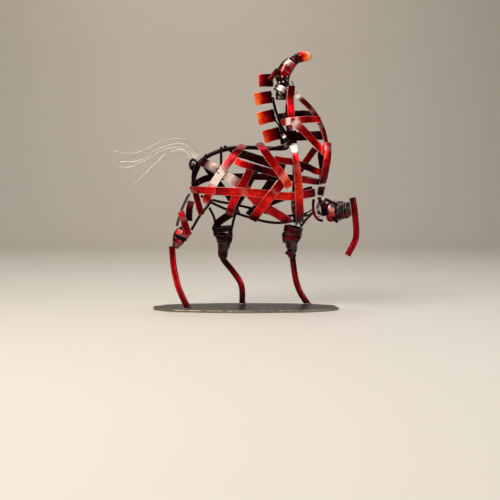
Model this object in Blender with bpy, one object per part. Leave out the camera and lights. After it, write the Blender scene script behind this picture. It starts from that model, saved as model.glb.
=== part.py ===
"""Standing horse welded from flat steel strip and round bar, on a hand-cut steel plate.

The body and neck are an open cage of lacquered strips that lie over and under each
other on one smooth horse form. Round bars run under the strips and make the legs.
All lengths are in metres, +Z is up, the horse looks along +X and its right flank
faces -Y. The origin is the middle of the plate's underside.
"""

import math

import bmesh
import bpy
import numpy as np

# Driving dimensions. Figure points below are drawn for a horse of DRAWN_HEIGHT.
HORSE_HEIGHT = 0.450
DRAWN_HEIGHT = 0.450
PLATE_THICKNESS = 0.004
PLATE_REAR_MARGIN = 0.0660
PLATE_FRONT_MARGIN = 0.0550
PLATE_NEAR_MARGIN = 0.030
PLATE_FAR_MARGIN = 0.018
PLATE_WAVE = 0.0012
PLATE_POWER = 2.4
STRIP_THICKNESS = 0.0014
WIDE_STRIP = 0.0158
BODY_STRIP = 0.0140
SLIM_STRIP = 0.0120
LAYER_STEP = 0.0021
LEG_BAR_RADIUS = 0.0055
SPINE_BAR_RADIUS = 0.0038
FRAME_ROD_RADIUS = 0.0024
TAIL_WIRE_RADIUS = 0.0009
CUFF_WALL = 0.0014
TAB_THICKNESS = 0.0016
WELD_GAP = 0.0003
BODY_SHIFT = 0.004

# How finely the pieces are drawn.
STRIP_ROW_SPACING = 0.0098
ROD_ROW_SPACING = 0.012
PLATE_RIM_POINTS = 56
ROUND_SIDES = 10
ROD_SIDES = 8
WIRE_SIDES = 5
SHARP_EDGE_DEG = 40

SCALE = HORSE_HEIGHT / DRAWN_HEIGHT

# Barrel of the horse form: a long rounded body, deepest behind the forelegs.
BARREL_MIDDLE_X = 0.020
BARREL_HALF_LENGTH = 0.117
BARREL_HALF_HEIGHT = 0.066
BARREL_TAPER = 0.11
BARREL_HALF_WIDTH = 0.038
BARREL_LOWEST_X = 0.060
BARREL_LOWEST_MIDDLE = 0.2135
BARREL_SAG = 0.0145
BARREL_SAG_REACH = 0.075
BARREL_POWER = 2.4

# Neck of the form: height, back edge, front edge and half thickness at each level.
NECK_LEVELS = (
    (0.236, 0.084, 0.143, 0.032),
    (0.262, 0.082, 0.147, 0.032),
    (0.282, 0.078, 0.147, 0.031),
    (0.311, 0.069, 0.143, 0.028),
    (0.336, 0.058, 0.132, 0.025),
    (0.352, 0.053, 0.121, 0.022),
    (0.364, 0.050, 0.109, 0.019),
    (0.372, 0.048, 0.098, 0.017),
    (0.388, 0.050, 0.087, 0.014),
)
NECK_POWER = 2.2
NECK_CLOSE = 0.020
FORM_BLEND = 0.004

NEAR = -1.0
FAR = 1.0

# Finishes: base colour, roughness and metallic value.
RED = ((0.45, 0.012, 0.010), 0.25, 0.6)
DARK = ((0.035, 0.006, 0.006), 0.30, 0.6)
ORANGE = ((0.75, 0.10, 0.012), 0.25, 0.5)
STEEL = ((0.55, 0.53, 0.50), 0.30, 1.0)
GUNMETAL = ((0.075, 0.072, 0.070), 0.38, 1.0)

# Strips that lie on the horse form: side, width, finish and route. A route point is
# x, height above the plate, and the layer that the strip lies in at that point.
FORM_STRIPS = {
    "near_rump_to_elbow_strip": (NEAR, WIDE_STRIP, RED, (
        (-0.077, 0.257, 0.2), (-0.069, 0.252, 0.1), (-0.042, 0.237, 0.0), (-0.005, 0.212, 0.0),
        (0.016, 0.190, 0.0), (0.036, 0.176, 0.0), (0.055, 0.165, 0.1), (0.075, 0.153, 0.4))),
    "near_loin_strip": (NEAR, BODY_STRIP, RED, (
        (-0.004, 0.283, 1.0), (-0.009, 0.278, 1.0), (-0.023, 0.262, 1.0), (-0.036, 0.246, 1.0),
        (-0.052, 0.223, 1.0), (-0.064, 0.200, 1.0), (-0.072, 0.180, 1.0))),
    "near_belt_rear": (NEAR, SLIM_STRIP, RED, (
        (-0.093, 0.209, 2.0), (-0.074, 0.208, 2.0), (-0.051, 0.207, 2.9))),
    "near_belt_front": (NEAR, BODY_STRIP, RED, (
        (-0.056, 0.206, 1.9), (-0.035, 0.205, 2.0), (-0.010, 0.204, 2.0), (0.028, 0.201, 2.0),
        (0.072, 0.196, 2.0), (0.098, 0.199, 1.9), (0.119, 0.203, 1.2))),
    "near_girth_strip": (NEAR, WIDE_STRIP, RED, (
        (0.066, 0.226, 3.0), (0.058, 0.215, 3.0), (0.041, 0.195, 3.0), (0.024, 0.174, 2.4),
        (0.012, 0.157, 1.4))),
    "near_middle_strip": (NEAR, BODY_STRIP, RED, (
        (0.012, 0.252, 1.0), (0.009, 0.245, 1.0), (-0.005, 0.216, 1.0), (-0.019, 0.192, 1.0),
        (-0.029, 0.167, 1.0))),
    "near_withers_strip": (NEAR, BODY_STRIP, RED, (
        (0.022, 0.283, 2.6), (0.026, 0.278, 3.0), (0.035, 0.266, 3.0), (0.050, 0.247, 3.0),
        (0.066, 0.226, 4.0), (0.074, 0.211, 4.0))),
    "near_rib_strip": (NEAR, SLIM_STRIP, RED, (
        (-0.018, 0.256, 2.0), (-0.010, 0.252, 2.0), (0.017, 0.244, 2.0), (0.046, 0.236, 2.0),
        (0.060, 0.232, 2.0))),
    "near_shoulder_strip": (NEAR, BODY_STRIP, RED, (
        (0.085, 0.284, 2.2), (0.086, 0.276, 3.0), (0.088, 0.249, 3.0), (0.090, 0.214, 3.0),
        (0.091, 0.188, 3.0), (0.093, 0.154, 2.0))),
    "near_chest_upper_band": (NEAR, SLIM_STRIP, RED, (
        (0.049, 0.259, 1.6), (0.066, 0.256, 1.6), (0.082, 0.254, 1.4), (0.096, 0.250, 0.8),
        (0.110, 0.245, 0.2), (0.123, 0.239, 0.0), (0.139, 0.237, 0.0))),
    "near_chest_lower_band": (NEAR, SLIM_STRIP, RED, (
        (0.082, 0.227, 1.3), (0.106, 0.224, 1.0), (0.122, 0.222, 0.5), (0.134, 0.222, 0.1))),
    "far_back_panel": (FAR, WIDE_STRIP, DARK, (
        (-0.020, 0.273, 1.0), (-0.003, 0.269, 1.0), (0.029, 0.259, 1.0), (0.070, 0.246, 1.0))),
    "far_middle_strip": (FAR, SLIM_STRIP, DARK, (
        (0.020, 0.248, 2.0), (0.009, 0.226, 2.0), (-0.004, 0.202, 2.0), (-0.026, 0.168, 1.0))),
    "far_girth_strip": (FAR, BODY_STRIP, DARK, (
        (0.062, 0.249, 2.6), (0.049, 0.228, 2.0), (0.034, 0.206, 2.0), (0.018, 0.178, 1.0))),
    "far_belt": (FAR, SLIM_STRIP, DARK, (
        (-0.094, 0.216, 1.0), (-0.065, 0.229, 1.0), (-0.011, 0.231, 1.0), (0.052, 0.230, 1.0),
        (0.106, 0.227, 1.0), (0.131, 0.222, 0.8))),
    "far_flank_strip": (FAR, SLIM_STRIP, DARK, (
        (-0.072, 0.250, 0.0), (-0.061, 0.234, 0.0), (-0.043, 0.211, 0.0), (-0.027, 0.190, 0.0),
        (-0.015, 0.165, 0.0))),
    "far_elbow_strip": (FAR, SLIM_STRIP, DARK, (
        (0.004, 0.163, 0.0), (0.016, 0.174, 0.0), (0.040, 0.183, 0.0), (0.079, 0.197, 0.0),
        (0.119, 0.209, 0.0))),
    "far_shoulder_strip": (FAR, BODY_STRIP, DARK, (
        (0.088, 0.283, 2.0), (0.090, 0.272, 3.0), (0.090, 0.242, 3.0), (0.089, 0.206, 3.0),
        (0.087, 0.179, 2.6), (0.091, 0.153, 1.6))),
    "far_chest_strip": (FAR, SLIM_STRIP, DARK, (
        (0.096, 0.240, 0.0), (0.109, 0.260, 0.0), (0.124, 0.281, 0.0))),
    "neck_side_strip": (NEAR, SLIM_STRIP, RED, (
        (0.079, 0.388, 1.0), (0.078, 0.376, 1.0), (0.077, 0.365, 1.0), (0.079, 0.343, 1.0),
        (0.081, 0.316, 1.0))),
    "neck_upper_band": (NEAR, SLIM_STRIP, RED, (
        (0.066, 0.3262, 2.0), (0.076, 0.3262, 2.0), (0.092, 0.3270, 2.0), (0.112, 0.3280, 2.0),
        (0.127, 0.3270, 2.0))),
    "neck_diagonal_strip": (NEAR, SLIM_STRIP, RED, (
        (0.084, 0.3260, 3.2), (0.094, 0.3155, 3.2), (0.103, 0.3060, 3.0), (0.114, 0.2930, 2.6),
        (0.126, 0.2800, 2.0), (0.136, 0.2685, 1.9))),
    "chest_front_strip": (NEAR, BODY_STRIP, RED, (
        (0.1375, 0.288, 3.2), (0.1380, 0.276, 3.2), (0.1370, 0.261, 3.2), (0.1340, 0.240, 2.8),
        (0.1305, 0.222, 2.6), (0.1270, 0.204, 2.4), (0.1262, 0.1985, 2.4))),
    "neck_front_strip": (NEAR, SLIM_STRIP, RED, (
        (0.086, 0.3750, 0.0), (0.0955, 0.3655, 0.0), (0.1090, 0.3525, 0.0),
        (0.1210, 0.3370, 0.0), (0.1310, 0.3180, 0.0), (0.1380, 0.2970, 0.0),
        (0.1405, 0.2810, 0.0))),
    "far_neck_side_strip": (FAR, SLIM_STRIP, DARK, (
        (0.078, 0.374, 1.0), (0.077, 0.352, 1.0), (0.078, 0.322, 1.0), (0.084, 0.292, 1.0))),
    "far_neck_upper_band": (FAR, SLIM_STRIP, DARK, (
        (0.060, 0.337, 2.0), (0.087, 0.342, 2.0), (0.110, 0.341, 2.0), (0.124, 0.336, 1.0))),
    "far_neck_lower_band": (FAR, WIDE_STRIP, DARK, (
        (0.068, 0.310, 2.9), (0.085, 0.304, 2.4), (0.104, 0.303, 2.0), (0.122, 0.304, 2.0),
        (0.137, 0.303, 2.0))),
    "far_chest_front_strip": (FAR, BODY_STRIP, DARK, (
        (0.135, 0.287, 1.0), (0.134, 0.268, 1.0), (0.136, 0.250, 1.0), (0.135, 0.230, 2.0),
        (0.131, 0.208, 2.0))),
}

# Round rods just under the strips: radius and route as x, height and place across.
FORM_RODS = {
    "spine_bar": (SPINE_BAR_RADIUS, (
        (0.078, 0.292, 0.004), (0.055, 0.290, 0.004), (0.018, 0.290, 0.004),
        (-0.011, 0.290, 0.004), (-0.032, 0.288, 0.004), (-0.050, 0.283, 0.004),
        (-0.070, 0.272, 0.004), (-0.088, 0.256, 0.004), (-0.097, 0.234, 0.004),
        (-0.099, 0.206, 0.004))),
    "near_belly_rod": (FRAME_ROD_RADIUS, (
        (-0.088, 0.186, -0.012), (-0.062, 0.176, -0.013), (-0.040, 0.168, -0.013),
        (-0.015, 0.159, -0.013), (0.010, 0.152, -0.013), (0.035, 0.146, -0.013),
        (0.064, 0.144, -0.013), (0.092, 0.148, -0.013), (0.112, 0.160, -0.013))),
    "far_belly_rod": (FRAME_ROD_RADIUS, (
        (-0.064, 0.183, 0.030), (-0.030, 0.180, 0.034), (0.002, 0.174, 0.036),
        (0.029, 0.166, 0.036), (0.054, 0.159, 0.036), (0.080, 0.156, 0.034),
        (0.106, 0.162, 0.030))),
}
# Short braces welded to the spine bar inside the rump, as x, height and place across.
RUMP_BRACES = (
    ((-0.0700, 0.2690, 0.0020), (-0.0800, 0.2520, -0.0050), (-0.0880, 0.2340, -0.0060),
     (-0.0945, 0.2130, 0.0020)),
    ((-0.0435, 0.2820, 0.0030), (-0.0435, 0.2620, -0.0120), (-0.0435, 0.2450, -0.0220)),
    ((-0.0380, 0.2840, 0.0040), (-0.0240, 0.2730, 0.0120), (-0.0160, 0.2640, 0.0160)))
CREST_ROD = (
    (0.0470, 0.3700, 0.0040), (0.0484, 0.3630, 0.0040), (0.0518, 0.3490, 0.0040),
    (0.0566, 0.3349, 0.0040), (0.0620, 0.3207, 0.0040), (0.0673, 0.3110, 0.0040),
    (0.0715, 0.3005, 0.0040))

# Legs: finish, then x, height and place across of the bar's middle line.
LEG_BARS = {
    "near_hind_leg": (RED, (
        (-0.1290, 0.1090, -0.0270), (-0.1270, 0.0810, -0.0285), (-0.1235, 0.0600, -0.0300),
        (-0.1185, 0.0395, -0.0310), (-0.1120, 0.0230, -0.0315), (-0.1010, 0.0, -0.0320))),
    "far_hind_leg": (DARK, (
        (-0.0424, 0.0865, 0.0440), (-0.0400, 0.0790, 0.0440), (-0.0260, 0.0620, 0.0440),
        (-0.0135, 0.0445, 0.0440), (-0.0085, 0.0330, 0.0440), (-0.0070, 0.0210, 0.0440),
        (-0.0070, 0.0, 0.0440))),
    "far_fore_leg": (DARK, (
        (0.0838, 0.0960, 0.0440), (0.0845, 0.0840, 0.0440), (0.0877, 0.0595, 0.0440),
        (0.0917, 0.0392, 0.0440), (0.0990, 0.0202, 0.0440), (0.1120, 0.0, 0.0440))),
}
RAISED_SHIN = (
    (0.1848, 0.1935, -0.0300), (0.1880, 0.1780, -0.0300), (0.1905, 0.1555, -0.0300),
    (0.1920, 0.1330, -0.0300), (0.1895, 0.1170, -0.0300), (0.1770, 0.0930, -0.0300))

# Sleeves of wrapped strip, open at both ends. A station is x, height, place across,
# half width seen from the side and half depth across the horse.
SLEEVES = {
    "near_hock_sleeve": (RED, (
        (-0.1000, 0.1400, -0.0330, 0.0105, 0.0095), (-0.1120, 0.1290, -0.0345, 0.0138, 0.0105),
        (-0.1180, 0.1175, -0.0365, 0.0100, 0.0080), (-0.1227, 0.1065, -0.0385, 0.0058, 0.0050))),
    "far_knee_sleeve": (DARK, (
        (0.0865, 0.1410, 0.0380, 0.0175, 0.0120), (0.0830, 0.1240, 0.0410, 0.0172, 0.0115),
        (0.0822, 0.1085, 0.0430, 0.0110, 0.0100), (0.0833, 0.0935, 0.0438, 0.0084, 0.0080),
        (0.0843, 0.0860, 0.0440, 0.0074, 0.0074))),
    "raised_forearm_sleeve": (DARK, (
        (0.1400, 0.1690, -0.0290, 0.0135, 0.0105), (0.1475, 0.1690, -0.0295, 0.0182, 0.0130),
        (0.1630, 0.1705, -0.0300, 0.0165, 0.0125), (0.1815, 0.1735, -0.0300, 0.0135, 0.0110))),
    "neck_top_hoop": (DARK, (
        (0.0642, 0.3660, 0.0040, 0.0125, 0.0104), (0.0642, 0.3805, 0.0040, 0.0125, 0.0104))),
    "head_shell": (RED, (
        (0.0690, 0.3870, 0.0040, 0.0086, 0.0078), (0.0656, 0.3965, 0.0040, 0.0102, 0.0088),
        (0.0638, 0.4045, 0.0040, 0.0126, 0.0100),
        (0.0664, 0.4128, 0.0040, 0.0127, 0.0110), (0.0735, 0.4243, 0.0040, 0.0122, 0.0105),
        (0.0823, 0.4323, 0.0040, 0.0097, 0.0085), (0.0918, 0.4381, 0.0040, 0.0080, 0.0070))),
}
FAR_HOCK_SLEEVE = (
    (-0.0420, 0.1410, 0.0400, 0.0170, 0.0120), (-0.0400, 0.1250, 0.0420, 0.0165, 0.0120),
    (-0.0403, 0.1085, 0.0430, 0.0118, 0.0105), (-0.0420, 0.0930, 0.0437, 0.0090, 0.0088),
    (-0.0423, 0.0845, 0.0440, 0.0082, 0.0080))
THROAT_COLLAR = (
    (0.0630, 0.3770, 0.0040, 0.0178, 0.0135), (0.0680, 0.3870, 0.0040, 0.0168, 0.0125))
MUZZLE = (
    (0.0945, 0.4388, 0.0040, 0.0090, 0.0080), (0.0990, 0.4408, 0.0040, 0.0092, 0.0082),
    (0.1055, 0.4411, 0.0040, 0.0086, 0.0074), (0.1115, 0.4410, 0.0040, 0.0062, 0.0055),
    (0.1155, 0.4408, 0.0040, 0.0026, 0.0026))

# Loose strips and bars that are welded between the pieces above. A strip's turn is 0
# with its face to the side and 90 degrees with its edge to the side.
LINK_STRIPS = {
    "near_thigh_back_strip": (SLIM_STRIP, 68, DARK, (
        (-0.0990, 0.2000, -0.0200), (-0.1070, 0.1830, -0.0270), (-0.1145, 0.1640, -0.0310),
        (-0.1200, 0.1440, -0.0330))),
    "near_thigh_inner_strip": (SLIM_STRIP, 10, DARK, (
        (-0.0950, 0.1880, -0.0325), (-0.0980, 0.1720, -0.0350), (-0.0985, 0.1530, -0.0355))),
    "near_flank_strip": (SLIM_STRIP, 0, RED, (
        (-0.0880, 0.2010, -0.0235), (-0.0820, 0.1800, -0.0330), (-0.0768, 0.1640, -0.0405))),
    "near_thigh_front_strip": (SLIM_STRIP, 0, RED, (
        (-0.1125, 0.1700, -0.0410), (-0.1075, 0.1550, -0.0445), (-0.1020, 0.1390, -0.0460),
        (-0.0985, 0.1290, -0.0460))),
    "raised_upper_arm_strip": (SLIM_STRIP, 0, DARK, (
        (0.1300, 0.1940, -0.0210), (0.1320, 0.1860, -0.0350), (0.1345, 0.1760, -0.0430),
        (0.1365, 0.1620, -0.0455))),
}
FAR_THIGH_STRIP = (BODY_STRIP, 0, (
    (-0.0160, 0.1700, 0.0400), (-0.0330, 0.1605, 0.0420), (-0.0500, 0.1480, 0.0420),
    (-0.0560, 0.1330, 0.0410)))
FAR_THIGH_RODS = (
    ((-0.0660, 0.1750, 0.0300), (-0.0575, 0.1560, 0.0380), (-0.0550, 0.1340, 0.0410)),
    ((-0.0190, 0.1640, 0.0360), (-0.0230, 0.1510, 0.0400), (-0.0265, 0.1350, 0.0410)))
NEAR_THIGH_ROD = (
    (-0.0600, 0.1900, -0.0300), (-0.0659, 0.1795, -0.0330), (-0.0798, 0.1622, -0.0350),
    (-0.0945, 0.1375, -0.0345))
ELBOW_LOOP = (
    (0.1180, 0.1905, -0.0220), (0.1172, 0.1780, -0.0240), (0.1190, 0.1650, -0.0260),
    (0.1255, 0.1560, -0.0280), (0.1340, 0.1530, -0.0290))
ELBOW_BRACE = (
    (0.1000, 0.1430, 0.0300), (0.1080, 0.1560, 0.0050), (0.1180, 0.1680, -0.0260))
THROAT_WIRE = (
    (0.0818, 0.3780, 0.0040), (0.0838, 0.3850, 0.0040), (0.0828, 0.3930, 0.0040),
    (0.0795, 0.3985, 0.0040))

# Mane tabs: middle of the root, middle of the free end, and height of the tab.
MANE_TABS = (
    ((0.0475, 0.3990), (0.0225, 0.3985), 0.0225),
    ((0.0455, 0.3705), (0.0155, 0.3655), 0.0220),
    ((0.0505, 0.3385), (0.0205, 0.3310), 0.0225),
    ((0.0600, 0.3075), (0.0310, 0.2995), 0.0225),
)
TAB_BOW = 0.0035
TAB_OUT = FRAME_ROD_RADIUS + TAB_THICKNESS / 2 + 2 * WELD_GAP
EARS = {"near_ear": NEAR, "far_ear": FAR}
EAR_RADIUS = 0.0040
EAR_ROUTE = ((0.0570, 0.4185, 0.0105), (0.0475, 0.4075, 0.0140), (0.0382, 0.3970, 0.0155))

# Tail: wires that spring from one weld on the rump, as x, height and place across.
TAIL_ROOT = (-0.0950, 0.2490, -0.0070)
TAIL_BOSS_RADIUS = 0.0060
TAIL_WIRES = (
    ((-0.088, 0.262, -0.003), (-0.085, 0.272, 0.0), (-0.0947, 0.2845, 0.0),
     (-0.1073, 0.2938, -0.002), (-0.1264, 0.2963, -0.004), (-0.1547, 0.2889, -0.008),
     (-0.1788, 0.2758, -0.012), (-0.2036, 0.2701, -0.015), (-0.2300, 0.2747, -0.018)),
    ((-0.0890, 0.2600, -0.002), (-0.0885, 0.2670, 0.002), (-0.0931, 0.2747, 0.006),
     (-0.1073, 0.2860, 0.008), (-0.1264, 0.2884, 0.010), (-0.1610, 0.2765, 0.014),
     (-0.1805, 0.2632, 0.017), (-0.1990, 0.2576, 0.019), (-0.2243, 0.2576, 0.022)),
    ((-0.0912, 0.2586, -0.0052), (-0.0912, 0.2640, -0.003), (-0.0990, 0.2738, 0.001),
     (-0.1239, 0.2818, 0.001), (-0.1522, 0.2738, 0.0), (-0.1788, 0.2588, -0.001),
     (-0.2070, 0.2464, -0.002), (-0.2230, 0.2473, -0.003)),
    ((-0.0930, 0.2580, -0.003), (-0.0963, 0.2623, 0.002), (-0.1073, 0.2747, 0.010),
     (-0.1232, 0.2783, 0.014), (-0.1522, 0.2632, 0.020), (-0.1864, 0.2418, 0.027),
     (-0.2018, 0.2331, 0.030)),
    ((-0.0945, 0.2570, -0.006), (-0.0980, 0.2610, -0.005), (-0.1073, 0.2701, -0.004),
     (-0.1232, 0.2733, -0.008), (-0.1390, 0.2701, -0.012), (-0.1500, 0.2607, -0.015),
     (-0.1942, 0.2165, -0.024)),
)


def solid_object(name, mesh, finish):
    """Link the mesh as a named object with a Principled material of the given finish."""
    colour, roughness, metallic = finish
    material = bpy.data.materials.new(name + "_finish")
    material.use_nodes = True
    shader = material.node_tree.nodes["Principled BSDF"]
    shader.inputs["Base Color"].default_value = (*colour, 1.0)
    shader.inputs["Roughness"].default_value = roughness
    shader.inputs["Metallic"].default_value = metallic
    mesh.materials.append(material)
    obj = bpy.data.objects.new(name, mesh)
    bpy.context.scene.collection.objects.link(obj)
    return obj


def mesh_from(name, points, faces):
    """Mesh of the points and faces, its normals turned outwards and its bends smooth."""
    mesh = bpy.data.meshes.new(name)
    mesh.from_pydata([tuple(p) for p in points], [], faces)
    shell = bmesh.new()
    shell.from_mesh(mesh)
    bmesh.ops.recalc_face_normals(shell, faces=shell.faces)
    shell.to_mesh(mesh)
    shell.free()
    mesh.shade_smooth()
    mesh.set_sharp_from_angle(angle=math.radians(SHARP_EDGE_DEG))
    return mesh


def smooth_route(points, count):
    """Catmull-Rom curve through the points, read at count places evenly spaced along it."""
    p = np.asarray(points, float)
    ends = np.vstack([2 * p[0] - p[1], p, 2 * p[-1] - p[-2]])
    fine = []
    for i in range(len(p) - 1):
        a, b, c, d = ends[i:i + 4]
        t = np.linspace(0, 1, 25)[:, None]
        fine.append(0.5 * (2 * b + (c - a) * t + (2 * a - 5 * b + 4 * c - d) * t ** 2
                           + (3 * b - a - 3 * c + d) * t ** 3))
    fine = np.vstack(fine)
    step = np.linalg.norm(np.diff(fine[:, :2], axis=0), axis=1)
    length = np.concatenate([[0.0], np.cumsum(step)])
    wanted = np.linspace(0, length[-1], count)
    return np.stack([np.interp(wanted, length, fine[:, k]) for k in range(fine.shape[1])], axis=1)


def form_distance(q):
    """Rough distance of drawn points outside the horse form: barrel and neck, blended."""
    x, y, z = q[:, 0], q[:, 1] - BODY_SHIFT, q[:, 2]
    past_lowest = (x - BARREL_LOWEST_X) / BARREL_SAG_REACH
    middle = BARREL_LOWEST_MIDDLE + BARREL_SAG * (1 - np.exp(-past_lowest ** 2))
    half_height = BARREL_HALF_HEIGHT + BARREL_TAPER * x
    barrel = (np.abs((x - BARREL_MIDDLE_X) / BARREL_HALF_LENGTH) ** BARREL_POWER
              + np.abs((z - middle) / half_height) ** BARREL_POWER
              + np.abs(y / BARREL_HALF_WIDTH) ** BARREL_POWER) ** (1 / BARREL_POWER)
    level, back, front, half = np.array(NECK_LEVELS).T
    back = np.interp(z, level, back)
    front = np.interp(z, level, front)
    half = np.interp(z, level, half)
    past_end = np.maximum(np.maximum(level[0] - z, z - level[-1]), 0) / NECK_CLOSE
    neck = (np.abs((x - (front + back) / 2) / ((front - back) / 2)) ** NECK_POWER
            + np.abs(y / half) ** NECK_POWER + past_end ** NECK_POWER) ** (1 / NECK_POWER)
    barrel = (barrel - 1) * BARREL_HALF_WIDTH
    neck = (neck - 1) * half
    low = np.minimum(barrel, neck)
    return low - FORM_BLEND * np.log(np.exp((low - barrel) / FORM_BLEND)
                                     + np.exp((low - neck) / FORM_BLEND))


def form_slope(q):
    """Gradient of the form distance by central differences."""
    step = 0.0004
    return np.stack([(form_distance(q + step * axis) - form_distance(q - step * axis)) / (2 * step)
                     for axis in np.eye(3)], axis=1)


def on_form(q):
    """Points moved along the slope onto the form, and the outward normals there."""
    for _ in range(8):
        slope = form_slope(q)
        q = q - slope * (form_distance(q) / (slope ** 2).sum(axis=1))[:, None]
    slope = form_slope(q)
    return q, slope / np.linalg.norm(slope, axis=1)[:, None]


def lay_on_form(xz, side):
    """Side-view points moved straight across the horse until they meet the form."""
    inner = np.zeros(len(xz))
    outer = np.full(len(xz), 2 * BARREL_HALF_WIDTH)
    for _ in range(30):
        reach = (inner + outer) / 2
        outside = form_distance(across_horse(xz, BODY_SHIFT + side * reach)) > 0
        outer = np.where(outside, reach, outer)
        inner = np.where(outside, inner, reach)
    return on_form(across_horse(xz, BODY_SHIFT + side * inner))


def across_horse(path, across):
    """Drawn points from side-view points and their places across the horse."""
    across = np.broadcast_to(across, len(path))
    return np.stack([path[:, 0], across, path[:, 1]], axis=1)


def placed(q):
    """Drawn points scaled to the horse's height and lifted onto the plate."""
    return np.asarray(q) * SCALE + np.array([0.0, 0.0, PLATE_THICKNESS + WELD_GAP])


def grid_shell(name, outer, inner):
    """Closed mesh between two grids of points, with a rim all round."""
    rows, columns = outer.shape[:2]
    half = rows * columns
    faces = []
    for i in range(rows - 1):
        for j in range(columns - 1):
            a = i * columns + j
            faces.append((a, a + 1, a + columns + 1, a + columns))
            faces.append((half + a, half + a + columns, half + a + columns + 1, half + a + 1))
    rim = (list(range(columns))
           + [i * columns + columns - 1 for i in range(1, rows)]
           + [(rows - 1) * columns + j for j in range(columns - 2, -1, -1)]
           + [i * columns for i in range(rows - 2, 0, -1)])
    for a, b in zip(rim, rim[1:] + rim[:1]):
        faces.append((a, b, half + b, half + a))
    return mesh_from(name, np.concatenate([outer.reshape(-1, 3), inner.reshape(-1, 3)]), faces)


def strip_on_form(name, side, width, finish, route):
    """Flat strip bent over the form: three rows of points, each moved out by its layer."""
    span = np.linalg.norm(np.diff(np.array(route)[:, :2], axis=0), axis=1).sum()
    path = smooth_route(route, max(5, int(round(span / STRIP_ROW_SPACING)) + 1))
    middle, normal = lay_on_form(path[:, :2], side)
    along = np.gradient(middle, axis=0)
    across = np.cross(along, normal)
    across /= np.linalg.norm(across, axis=1)[:, None]
    lift = path[:, 2:3] * LAYER_STEP + WELD_GAP
    outer, inner = [], []
    for share in (-0.5, 0.0, 0.5):
        surface, out = on_form(middle + across * width * share)
        outer.append(surface + out * (lift + STRIP_THICKNESS))
        inner.append(surface + out * lift)
    outer = placed(np.stack(outer, axis=1))
    inner = placed(np.stack(inner, axis=1))
    return solid_object(name, grid_shell(name, outer, inner), finish)


def frames_along(path):
    """Unit tangents of the path, the direction across it in side view, and the third."""
    tangent = np.gradient(path, axis=0)
    tangent /= np.linalg.norm(tangent, axis=1)[:, None]
    first = np.cross(tangent, (0.0, 1.0, 0.0))
    first /= np.linalg.norm(first, axis=1)[:, None]
    return tangent, first, np.cross(tangent, first)


def link_strip(name, width, turn, finish, route):
    """Flat strip along a free route, its face turned from the side by the given angle."""
    path = smooth_route(route, 2 * len(route))
    middle = placed(across_horse(path, path[:, 2]))
    tangent, first, second = frames_along(middle)
    angle = math.radians(turn)
    wide = first * math.cos(angle) + second * math.sin(angle)
    thick = np.cross(tangent, wide) * STRIP_THICKNESS / 2
    grid = np.stack([middle + wide * width * share for share in (-0.5, 0.5)], axis=1)
    return solid_object(name, grid_shell(name, grid + thick[:, None], grid - thick[:, None]),
                        finish)


def tube_mesh(name, path, radius, sides, flat_foot=False):
    """Round bar along the path. A flat foot has its last ring cut level at the plate."""
    tangent, first, second = frames_along(path)
    turn = np.linspace(0, 2 * math.pi, sides, endpoint=False)
    rings = (path[:, None] + radius * (np.cos(turn)[None, :, None] * first[:, None]
                                       + np.sin(turn)[None, :, None] * second[:, None]))
    if flat_foot:
        slide = (path[-1, 2] - rings[-1, :, 2]) / tangent[-1, 2]
        rings[-1] += slide[:, None] * tangent[-1]
    rows = len(path)
    faces = [tuple(range(sides)), tuple(range((rows - 1) * sides, rows * sides))]
    for i in range(rows - 1):
        for j in range(sides):
            a, b = i * sides + j, i * sides + (j + 1) % sides
            faces.append((a, b, b + sides, a + sides))
    return mesh_from(name, rings.reshape(-1, 3), faces)


def bar(name, radius, finish, route, rows, sides=ROD_SIDES, flat_foot=False):
    """Round bar or wire along a free route."""
    path = smooth_route(route, rows)
    middle = placed(across_horse(path, path[:, 2]))
    return solid_object(name, tube_mesh(name, middle, radius, sides, flat_foot), finish)


def rod_on_form(name, radius, route):
    """Round rod just under the form, so that the strips lie on it."""
    span = np.linalg.norm(np.diff(np.array(route)[:, :2], axis=0), axis=1).sum()
    path = smooth_route(route, max(6, int(round(span / ROD_ROW_SPACING))))
    surface, normal = on_form(across_horse(path, path[:, 2]))
    middle = placed(surface - normal * (radius / SCALE + WELD_GAP))
    return solid_object(name, tube_mesh(name, middle, radius, ROD_SIDES), DARK)


def sleeve(name, finish, stations, closed_tip=False):
    """Tube of wrapped strip with a wall, as wide and deep as its stations say."""
    path = smooth_route(stations, len(stations) + 1)
    middle = placed(across_horse(path, path[:, 2]))
    _, first, second = frames_along(middle)
    sides = ROUND_SIDES
    turn = np.linspace(0, 2 * math.pi, sides, endpoint=False)
    shells = []
    for inset in (0.0, CUFF_WALL):
        wide = (path[:, 3] * SCALE - inset)[:, None, None]
        deep = (path[:, 4] * SCALE - inset)[:, None, None]
        rings = (middle[:, None] + np.cos(turn)[None, :, None] * first[:, None] * wide
                 + np.sin(turn)[None, :, None] * second[:, None] * deep)
        shells.append(rings)
    if closed_tip:
        shells[1] = shells[1][:-1]
    half = len(shells[0]) * sides
    faces = []
    for start, rings in zip((0, half), shells):
        for i in range(len(rings) - 1):
            for j in range(sides):
                a, b = start + i * sides + j, start + i * sides + (j + 1) % sides
                faces.append((a, b, b + sides, a + sides))
    ends = [(0, half)]
    if closed_tip:
        faces.append(tuple(range(half - sides, half)))
        last = half + (len(shells[1]) - 1) * sides
        faces.append(tuple(range(last, last + sides)))
    else:
        ends.append((half - sides, half + (len(shells[1]) - 1) * sides))
    for outer, inner in ends:
        for j in range(sides):
            k = (j + 1) % sides
            faces.append((outer + j, outer + k, inner + k, inner + j))
    points = np.concatenate([shell.reshape(-1, 3) for shell in shells])
    return solid_object(name, mesh_from(name, points, faces), finish)


def weld(name, parts):
    """Join parts that really touch into the first one, and give it the name."""
    whole = parts[0]
    for part in parts[1:]:
        union = whole.modifiers.new("weld", "BOOLEAN")
        union.operation = "UNION"
        union.object = part
        part.hide_render = True
        part.display_type = "WIRE"
    whole.name = name


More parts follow.
